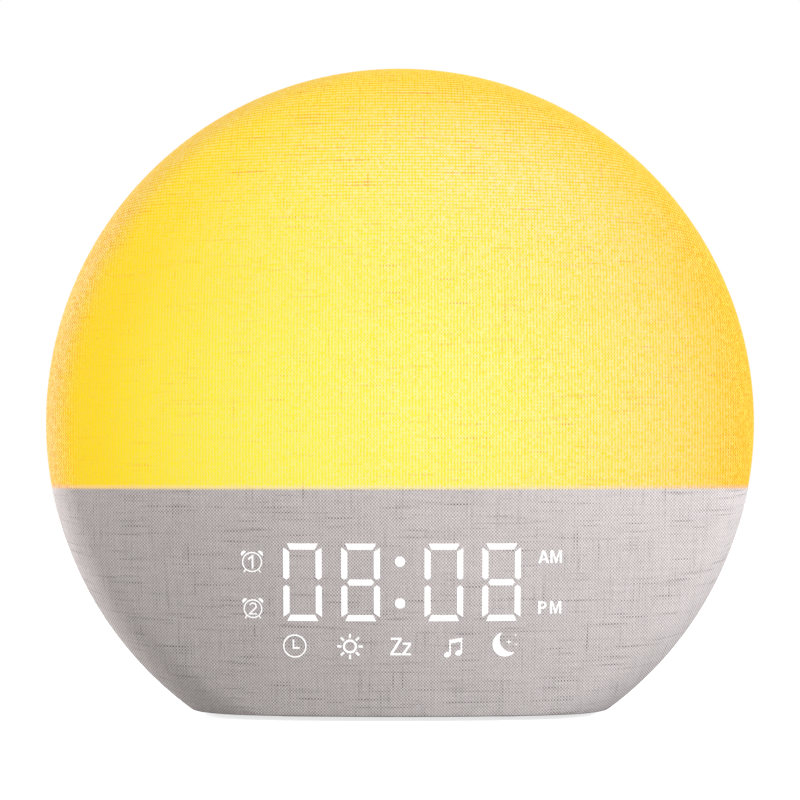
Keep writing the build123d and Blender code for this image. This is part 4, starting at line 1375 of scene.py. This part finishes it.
# ---- Sub-assemblies --------------------------------------------------------------------
@dataclass
class ClothCover:
    """Woven cover: stretched over the dome, down the flat foot and folded in at the seam."""

    face: Face
    finish: Cloth
    floor: float
    seam: float
    thickness: float = 0.6 * MM
    bend: tuple[Point, ...] = ((0.2 * MM, 0.1 * MM), (0.6 * MM, 0.0))     # inward, and before the seam
    fold: float = 2.8 * MM            # how far the hem reaches inward
    foot_edge: float = 0.35 * MM      # radius of the foot's edge
    foot_cuts: tuple[float, ...] = (0.1, 0.3, 0.6, 1.0)
    steps: tuple[int, int, int] = (44, 18, 6)    # across the ball, round the roll and along the side
    turns: int = 224
    weld: float = 0.02 * MM
    margin: float = 0.01 * MM         # what counts as lying on the seam's plane

    def build(self) -> Piece:
        """Spin the cover's profile, cut its foot, lay out the cloth and give it thickness.

        Returns:
            The cover.
        """
        profile = self.face.profile(*self.steps)
        tail = profile[-1][0]
        profile += [(tail - inward, self.seam - before) for inward, before in self.bend]
        profile += [(tail - self.fold, self.seam), (0.0, self.seam)]
        cover = Shop.strand("cloth_cover", profile, self.face.centre.z)
        with Shop.editing(cover):
            centre = (0, 0, self.face.centre.z)
            bpy.ops.mesh.spin(steps=self.turns, angle=math.tau, center=centre, axis=(0, 1, 0))
            bpy.ops.mesh.select_all(action="SELECT")
            bpy.ops.mesh.remove_doubles(threshold=self.weld)
            Shop.cut_level(self.floor, keep_above=True)
            bpy.ops.mesh.select_all(action="SELECT")
            bpy.ops.mesh.normals_make_consistent(inside=False)
        self.round_foot(cover)
        mouth = tail - self.fold + self.margin
        with Shop.editing_where(cover, "FACE", lambda co: self.at_seam(co) and self.face.reach(co) < mouth):
            bpy.ops.mesh.delete(type="FACE")
        self.lay_out(cover)
        Shop.modify(cover, "SOLIDIFY", thickness=self.thickness, offset=-1.0, use_even_offset=True)
        Shop.smooth(cover, 40)
        Shop.deliver(cover, self.finish.material(), "clock", "fabric")
        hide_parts("fabric_cover")
        return cover

    def at_seam(self, place: Vector) -> bool:
        """Tell whether a place lies on the seam's plane."""
        return place.y > self.seam - self.margin

    def round_foot(self, cover: Piece) -> None:
        """Round the edge of the foot, where the cloth bends over the rim of the shell.

        Args:
            cover: The closed cover.
        """
        with Shop.editing(cover):
            for share in self.foot_cuts:
                Shop.cut_level(self.floor + share * self.foot_edge)
        for vertex in cover.data.vertices:
            rise = 1 - (vertex.co.z - self.floor) / self.foot_edge
            if rise > 0 and not self.at_seam(vertex.co):
                out = Vector((vertex.normal.x, vertex.normal.y, 0)).normalized()
                vertex.co -= out * self.foot_edge * (1 - math.sqrt(max(0.0, 1 - rise ** 2)))

    def lay_out(self, cover: Piece) -> None:
        """Write where each corner lay before the cloth was stretched over the form.

        Args:
            cover: The cover.
        """
        layout = cover.data.uv_layers.new(name=self.finish.layout)
        side = self.finish.flat_span
        for polygon in cover.data.polygons:
            foot = polygon.normal.z < -0.9 and polygon.center.z < self.floor + 0.1 * MM
            for place in polygon.loop_indices:
                point = cover.data.vertices[cover.data.loops[place].vertex_index].co
                across, up = self.flat_place(point, foot)
                layout.data[place].uv = (0.5 + across / side, 0.5 + up / side)

    def flat_place(self, point: Vector, foot: bool) -> Point:
        """Return where a point of the cover lay on the flat cloth, from the disc's middle.

        Args:
            point: The point.
            foot: Whether it belongs to the flat foot.

        Returns:
            Its place across and up.
        """
        if foot:
            return point.x, self.floor - self.face.centre.z - (point.y - self.face.low.y)
        run = self.face.run(self.face.reach(point), point.y)
        turn = math.atan2(point.z - self.face.centre.z, point.x)
        return run * math.cos(turn), run * math.sin(turn)


@dataclass
class LitDisplay:
    """The time and signs that shine through the cloth, in millimetres."""

    face: Face
    glow: Glow
    film: float = 0.12                # thickness of a lit shape
    height: float = 17.85             # of a digit
    width: float = 8.86
    stroke: float = 1.42
    bar_outer: float = 3.55           # half the length of a level bar, at its outer edge
    bar_inner: float = 2.85           # and at its inner edge
    side_top: float = 0.94            # how far an upright bar ends below the digit's top, at its outer edge
    side_inner_top: float = 1.9       # and at its inner edge
    side_foot: float = 1.11           # where it starts above the digit's middle
    side_point: float = 0.62          # and at its pointed middle
    middle_tip: float = 3.07          # half the length of the middle bar, at its points
    middle_flat: float = 2.55         # and along its edges
    middle_share: float = 0.49        # half its width, over the stroke
    middle: float = 32.7              # of the digits, above the table
    digits: tuple[tuple[float, str], ...] = ((-22.3, "0"), (-9.0, "8"), (10.0, "0"), (23.2, "8"))
    dots: tuple[float, ...] = (37.5, 27.9)
    dot_radius: float = 1.19
    signs: tuple[tuple[Sign, float, float], ...] = (
        (Sign.ALARM_ONE, -33.9, 37.3), (Sign.ALARM_TWO, -33.8, 26.5), (Sign.MORNING, 34.4, 38.5),
        (Sign.AFTERNOON, 34.4, 26.8), (Sign.CLOCK, -24.2, 17.9), (Sign.SUN, -11.5, 17.9),
        (Sign.SLEEP, 0.1, 17.9), (Sign.MUSIC, 12.2, 17.6), (Sign.MOON, 24.1, 18.3))

    def build(self) -> list[Piece]:
        """Build every lit shape and lay it on the cloth.

        Returns:
            The lit pieces.
        """
        made = []
        for place, (x, figure) in enumerate(self.digits):
            stamp = Stamp(f"lit_digit_{place + 1}", self.film)
            for corners in self.bars(figure):
                stamp.polygon(corners)
            made.append(self.lay(stamp, x, self.middle))
        colon = Stamp("lit_colon", self.film)
        for z in self.dots:
            colon.disc(0.0, z - self.middle, self.dot_radius)
        made.append(self.lay(colon, 0.0, self.middle))
        for sign, x, z in self.signs:
            stamp = Stamp(f"lit_{sign.value}", self.film)
            SignWriter(stamp).draw(sign)
            made.append(self.lay(stamp, x, z))
        material = self.glow.material()
        for piece in made:
            Shop.deliver(piece, material, "clock", "lens")
        return made

    def bars(self, figure: str) -> list[list[Point]]:
        """Outlines of a figure's lit bars about its middle.

        Args:
            figure: The figure shown, "0" or "8".

        Returns:
            One outline for each lit bar.
        """
        edge, top = self.width / 2, self.height / 2
        inner = edge - self.stroke
        level = [(-self.bar_outer, top), (self.bar_outer, top),
                 (self.bar_inner, top - self.stroke), (-self.bar_inner, top - self.stroke)]
        upright = [(-edge, top - self.side_top), (-inner, top - self.side_inner_top),
                   (-inner, self.side_foot), (-edge + self.stroke / 2, self.side_point),
                   (-edge, self.side_foot)]
        found = [level, mirrored(level, 1, -1)]
        found += [mirrored(upright, flip_x, flip_z) for flip_x in (1, -1) for flip_z in (1, -1)]
        if figure == "8":
            tip, flat, half = self.middle_tip, self.middle_flat, self.stroke * self.middle_share
            found.append([(-tip, 0.0), (-flat, half), (flat, half), (tip, 0.0), (flat, -half),
                          (-flat, -half)])
        return found

    def lay(self, stamp: Stamp, x: float, z: float) -> Piece:
        """Make a lit shape and lay it on the cloth's outer face.

        Args:
            stamp: The shape, about its own middle.
            x: Where its middle goes, across.
            z: Where its middle goes, up.

        Returns:
            The piece.
        """
        piece = stamp.solid()
        for vertex in piece.data.vertices:
            vertex.co.x += x * MM
            vertex.co.z += z * MM
            vertex.co.y += self.face.depth_at(vertex.co.x, vertex.co.z)
        return piece


@dataclass
class KeySigns:
    """Signs on the keys, pressed onto each cap's own surface."""

    finish: Finish
    rise: float = 0.5                 # thickness of a sign on top, in millimetres
    film: float = 0.08                # and on the back
    top: tuple[tuple[str, Sign, float], ...] = (
        ("light_key", Sign.SUN, 0.95), ("volume_down_key", Sign.MINUS, 1.0),
        ("snooze_key", Sign.SNOOZE, 1.0), ("volume_up_key", Sign.PLUS, 1.0), ("sound_key", Sign.MUSIC, 0.95))
    back: tuple[tuple[str, Sign, float], ...] = (
        ("clock_key", Sign.CLOCK, 0.85), ("alarm_one_key", Sign.ALARM_ONE, 0.85),
        ("alarm_two_key", Sign.ALARM_TWO, 0.85), ("sleep_key", Sign.MOON, 0.8))
    far: float = 0.3                  # metres, from where a key's face is looked for

    def build(self) -> list[Piece]:
        """Build each key's sign.

        Returns:
            The signs.
        """
        material = self.finish.material()
        made = []
        for keys, down, thickness in ((self.top, Vector((0, 0, -1)), self.rise),
                                      (self.back, Vector((0, -1, 0)), self.film)):
            for key, sign, scale in keys:
                stamp = Stamp(f"{key}_sign", thickness, scale)
                SignWriter(stamp).draw(sign)
                piece = stamp.solid()
                piece.data.transform(self.facing(key, down))
                self.press(piece, key, down)
                Shop.outward(piece)
                Shop.deliver(piece, material, key, "keycap")
                made.append(piece)
        return made

    @staticmethod
    def facing(key: str, down: Vector) -> Matrix:
        """Turn a sign from its drawing plane to a key's face.

        Args:
            key: The key's node.
            down: The way into the key.

        Returns:
            The matrix.
        """
        low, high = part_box(key)
        middle = (low + high) / 2
        if down.z:
            return Matrix.Translation((middle.x, middle.y, 0)) @ Matrix.Rotation(-math.pi / 2, 4, "X")
        return Matrix.Translation((middle.x, 0, middle.z)) @ Matrix.Rotation(math.pi, 4, "Z")

    def press(self, piece: Piece, key: str, down: Vector) -> None:
        """Move each point along the key's direction until the sign follows its surface, half sunk.

        Args:
            piece: The sign.
            key: The key's node.
            down: The way into the key.
        """
        tree = BVHTree.FromObject(frame["nodes"][key], bpy.context.evaluated_depsgraph_get())
        for vertex in piece.data.vertices:
            flat = vertex.co - down * vertex.co.dot(down)
            hit = tree.ray_cast(flat - down * self.far, down)[0]
            vertex.co += down * hit.dot(down)


@dataclass
class CrossScrews:
    """Pan-head screws with cross recesses, along Y with their heads to the back."""

    name: str
    node: str
    finish: Finish
    seats: tuple[tuple[float, float, float], ...]
    head_radius: float
    head_height: float
    shank_radius: float
    length: float
    sides: int = 40
    rounding: float = 0.45            # radius of the head's edge, over its height
    rounding_steps: int = 4
    tip: float = 0.6                  # width of the tip, over the shank's
    slot_length: float = 1.1          # of one slot of the cross, over the head's radius
    slot_width: float = 0.26
    slot_depth: float = 1.2           # twice its depth, over the head's height
    slot_taper: float = 0.55          # its size at the bottom, over that at the top

    @classmethod
    def for_case(cls, finish: Finish) -> CrossScrews:
        """Size the screws that hold the two halves of the case.

        Args:
            finish: Their finish.

        Returns:
            The four screws.
        """
        places = ((-45, 14.4, 105), (45, 14.4, 105), (-57, -1.5, 46), (57, -1.5, 46))
        seats = tuple((x * MM, y * MM, z * MM) for x, y, z in places)
        return cls("case_screw_heads", "case_screws", finish, seats, head_radius=2.8 * MM,
                   head_height=2.0 * MM, shank_radius=1.45 * MM, length=10.0 * MM)

    @classmethod
    def for_door(cls, finish: Finish) -> CrossScrews:
        """Size the battery door's screw by the box of its node.

        Args:
            finish: Its finish.

        Returns:
            The screw.
        """
        low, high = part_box("battery_door_screw")
        head = 0.9 * MM
        seat = ((high.x + low.x) / 2, high.y - head, (high.z + low.z) / 2)
        return cls("door_screw_head", "battery_door_screw", finish, (seat,),
                   head_radius=(high.x - low.x) / 2, head_height=head, shank_radius=0.95 * MM,
                   length=high.y - low.y - head)

    def build(self) -> Piece:
        """Build the screws and stand them in for their node.

        Returns:
            The piece.
        """
        pattern = self.one()
        copies = []
        for seat in self.seats:
            copy = pattern.copy()
            copy.data = pattern.data.copy()
            bpy.context.scene.collection.objects.link(copy)
            copy.data.transform(Matrix.Translation(seat) @ Matrix.Rotation(-math.pi / 2, 4, "X"))
            copies.append(copy)
        bpy.data.objects.remove(pattern)
        piece = Shop.join(self.name, copies)
        Shop.smooth(piece, 35)
        Shop.deliver(piece, self.finish.material(), "clock", "screw_steel")
        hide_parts(self.node)
        return piece

    def one(self) -> Piece:
        """Model one screw along Z, the underside of its head on the origin.

        Returns:
            The screw.
        """
        Shop.clear()
        bpy.ops.mesh.primitive_cylinder_add(vertices=self.sides, radius=self.head_radius,
                                            depth=self.head_height, location=(0, 0, self.head_height / 2))
        head = Shop.settle(Shop.named(self.name))
        with Shop.editing_where(head, "EDGE", lambda co: co.z > self.head_height * 0.9):
            bpy.ops.mesh.bevel(offset=self.head_height * self.rounding, segments=self.rounding_steps)
        with Shop.editing_where(head, "FACE", lambda co: co.z < self.head_height * 0.1):
            bpy.ops.mesh.inset(thickness=self.head_radius - self.shank_radius)
            bpy.ops.mesh.extrude_region_move(TRANSFORM_OT_translate={"value": (0, 0, -self.length)})
            bpy.ops.transform.resize(value=(self.tip, self.tip, 1.0))
        for turn in (0.0, math.pi / 2):
            Shop.combine(head, "DIFFERENCE", self.blade(turn))
        return head

    def blade(self, turn: float) -> Piece:
        """Make the tapered blade that cuts one slot of the cross.

        Args:
            turn: The slot's direction, in radians.

        Returns:
            The blade.
        """
        Shop.clear()
        size = (self.head_radius * self.slot_length, self.head_radius * self.slot_width,
                self.head_height * self.slot_depth)
        bpy.ops.mesh.primitive_cube_add(size=1.0, rotation=(0, 0, turn), location=(0, 0, self.head_height),
                                        scale=size)
        blade = Shop.settle(Shop.named("blade"))
        for vertex in blade.data.vertices:
            if vertex.co.z < self.head_height:
                vertex.co.x *= self.slot_taper
                vertex.co.y *= self.slot_taper
        return blade


@dataclass
class Dressing:
    """Finishes for the pieces that the construction brings, by material slot."""

    finishes: tuple[Finish, ...] = (
        Finish("diffuser", (0.86, 0.85, 0.80), 0.45, subsurface=0.3, mottle=0.03),
        Finish("reflector", (0.90, 0.90, 0.88), 0.28, mottle=0.02),
        Finish("housing", (0.66, 0.63, 0.61), 0.52, texture=Texture.SPARKED,
               grain=0.45 * MM, depth=0.03 * MM),
        Finish("keycap", (0.48, 0.45, 0.43), 0.55, texture=Texture.SPARKED,
               grain=0.4 * MM, depth=0.02 * MM),
        Finish("grille", (0.33, 0.31, 0.30), 0.45, metallic=0.3),
        Finish("soft_pad", (0.14, 0.13, 0.125), 0.85, grain=0.6 * MM, depth=0.02 * MM),
        Finish("lamp_metal", (0.84, 0.85, 0.85), 0.35, mottle=0.03),
        Finish("led", (0.85, 0.66, 0.14), 0.25, subsurface=0.2),
        Finish("mask", (0.014, 0.014, 0.015), 0.6, texture=Texture.SPARKED),
        Finish("lens", (0.92, 0.92, 0.92), 0.15, transmission=0.5, mottle=0.02),
        Finish("chip", (0.018, 0.018, 0.02), 0.45, grain=0.15 * MM),
        Finish("socket_plastic", (0.74, 0.70, 0.58), 0.4, mottle=0.03),
        Finish("steel", (0.62, 0.62, 0.61), 0.26, metallic=1.0, texture=Texture.BRUSHED),
        Finish("screw_steel", (0.22, 0.22, 0.235), 0.32, metallic=1.0, texture=Texture.BRUSHED,
               grain=0.1 * MM),
        Finish("magnet", (0.045, 0.045, 0.05), 0.42),
        Finish("basket", (0.02, 0.02, 0.02), 0.38, metallic=0.2),
        Finish("paper", (0.022, 0.022, 0.024), 0.9, texture=Texture.FIBROUS,
               grain=0.3 * MM, depth=0.06 * MM),
        Finish("foam", (0.02, 0.02, 0.02), 0.95, texture=Texture.SPARKED,
               grain=0.7 * MM, depth=0.15 * MM),
        Finish("wire", (0.36, 0.03, 0.025), 0.38, mottle=0.04),
    )
    board: Board = Board("board", (0.012, 0.11, 0.045), (0.03, 0.2, 0.085))

    def finish(self, slot: str) -> Finish:
        """Return the finish of a material slot."""
        return next(finish for finish in self.finishes if finish.name == slot)

    def build(self) -> None:
        """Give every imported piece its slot's finish."""
        made = {finish.name: finish.material() for finish in (*self.finishes, self.board)}
        for row in frame["record"]["subparts"]:
            if row["material_slot"] in made:
                Shop.dress(frame["nodes"][row["node"]], made[row["material_slot"]])


@dataclass(frozen=True)
class Lamp:
    """A square lamp that faces the clock."""

    name: str
    azimuth: float                    # where it hangs, from the front towards the right, in degrees
    elevation: float                  # how high, in degrees
    distance: float                   # from the place that it faces
    size: float                       # its side
    watts: float
    tint: Colour = (1.0, 1.0, 1.0)
    aim: Vector = Vector((0, -0.02, 0.07))

    def hang(self) -> None:
        """Hang the lamp."""
        azimuth, elevation = math.radians(self.azimuth), math.radians(self.elevation)
        out = Vector((math.sin(azimuth) * math.cos(elevation), -math.cos(azimuth) * math.cos(elevation),
                      math.sin(elevation)))
        place = self.aim + out * self.distance
        turn = out.to_track_quat("Z", "Y").to_euler()
        bpy.ops.object.light_add(type="AREA", location=place, rotation=turn)
        light = bpy.context.object
        light.name = light.data.name = self.name
        light.data.energy = self.watts
        light.data.color = self.tint
        light.data.size = self.size


@dataclass
class Studio:
    """White room: a pale floor, soft lamps and the camera."""

    ambient: float = 0.265            # strength of the light from all round
    floor_size: float = 8.0
    paper: Colour = (0.8, 0.8, 0.8)   # the floor as it is seen
    lift: float = 0.75                # what is added to it
    underlay: Colour = (0.16, 0.16, 0.16)        # the floor as it lights the clock
    lamps: tuple[Lamp, ...] = (
        Lamp("key_lamp", 64.0, 18.0, 1.4, 0.5, 21.6, (0.975, 1.0, 1.02)),
        Lamp("rim_lamp", -106.0, 12.0, 0.9, 0.3, 7.3),
        Lamp("fill_lamp", -30.0, 12.0, 1.1, 0.5, 3.6),
        Lamp("back_lamp", 160.0, 28.0, 1.3, 0.6, 5.6),
    )
    lens: float = 85.0
    eye: tuple[float, float, float] = (0.0, -0.46865, 0.0593)
    pitch: float = 1.998              # degrees that the camera looks up

    def build(self) -> None:
        """Build the room and place the camera."""
        self.floor()
        self.world()
        for lamp in self.lamps:
            lamp.hang()
        bpy.ops.object.camera_add(location=self.eye, rotation=(math.radians(90 + self.pitch), 0, 0))
        camera = bpy.context.object
        camera.data.lens = self.lens
        bpy.context.scene.camera = camera
        bpy.context.scene.view_settings.view_transform = "Standard"

    def floor(self) -> None:
        """Lay the floor: pale where it is looked at, and throwing little light back on the clock."""
        Shop.clear()
        bpy.ops.mesh.primitive_plane_add(size=self.floor_size)
        floor = Shop.named("floor")
        graph = Graph(bpy.data.materials.new("floor_paper"))
        fleck = graph.noise(graph.place(), 300.0)
        graph.surface({
            "Base Color": graph.blend(fleck, tinted(self.paper, 0.98), self.paper),
            "Roughness": 0.9,
            "Specular IOR Level": 0.1,
        })
        glow = graph.node("ShaderNodeEmission", {"Color": WHITE, "Strength": self.lift}).outputs[0]
        pale = graph.node("ShaderNodeAddShader", {0: graph.shader.outputs[0], 1: glow}).outputs[0]
        dull = graph.node("ShaderNodeBsdfDiffuse", {"Color": (*self.underlay, 1.0)}).outputs[0]
        graph.swap_when_looked_at(dull, pale)
        Shop.dress(floor, graph.holder)

    def world(self) -> None:
        """Surround the room with even light that looks white."""
        graph = Graph(bpy.data.worlds.new("room"))
        bpy.context.scene.world = graph.holder
        graph.surface({"Color": WHITE, "Strength": self.ambient})
        white = graph.node("ShaderNodeBackground", {"Color": WHITE, "Strength": 1.0}).outputs[0]
        graph.swap_when_looked_at(graph.shader.outputs[0], white)


def main() -> None:
    """Build the clock's visual model piece by piece, then the room."""
    logging.basicConfig(level=logging.INFO, format="%(message)s")
    low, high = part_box("fabric_cover")
    face = Face(low, high)
    dressing = Dressing()
    dressing.build()
    sunrise = Sunrise(face.centre, face.radius)
    cloth = Cloth("linen", thread=(0.743, 0.674, 0.663), shelf=54.0 * MM, glow=sunrise)
    made = [ClothCover(face, cloth, floor=low.z, seam=high.y).build()]
    made += LitDisplay(face, Glow("lit_white", (1.0, 1.0, 1.0))).build()
    made += KeySigns(Finish("sign_white", (0.85, 0.85, 0.84))).build()
    steel = dressing.finish("screw_steel")
    made += [CrossScrews.for_case(steel).build(), CrossScrews.for_door(steel).build()]
    for piece in made:
        LOG.info("%s: %d faces", piece.name, len(piece.data.polygons))
    Studio().build()


if __name__ == "__main__":
    main()
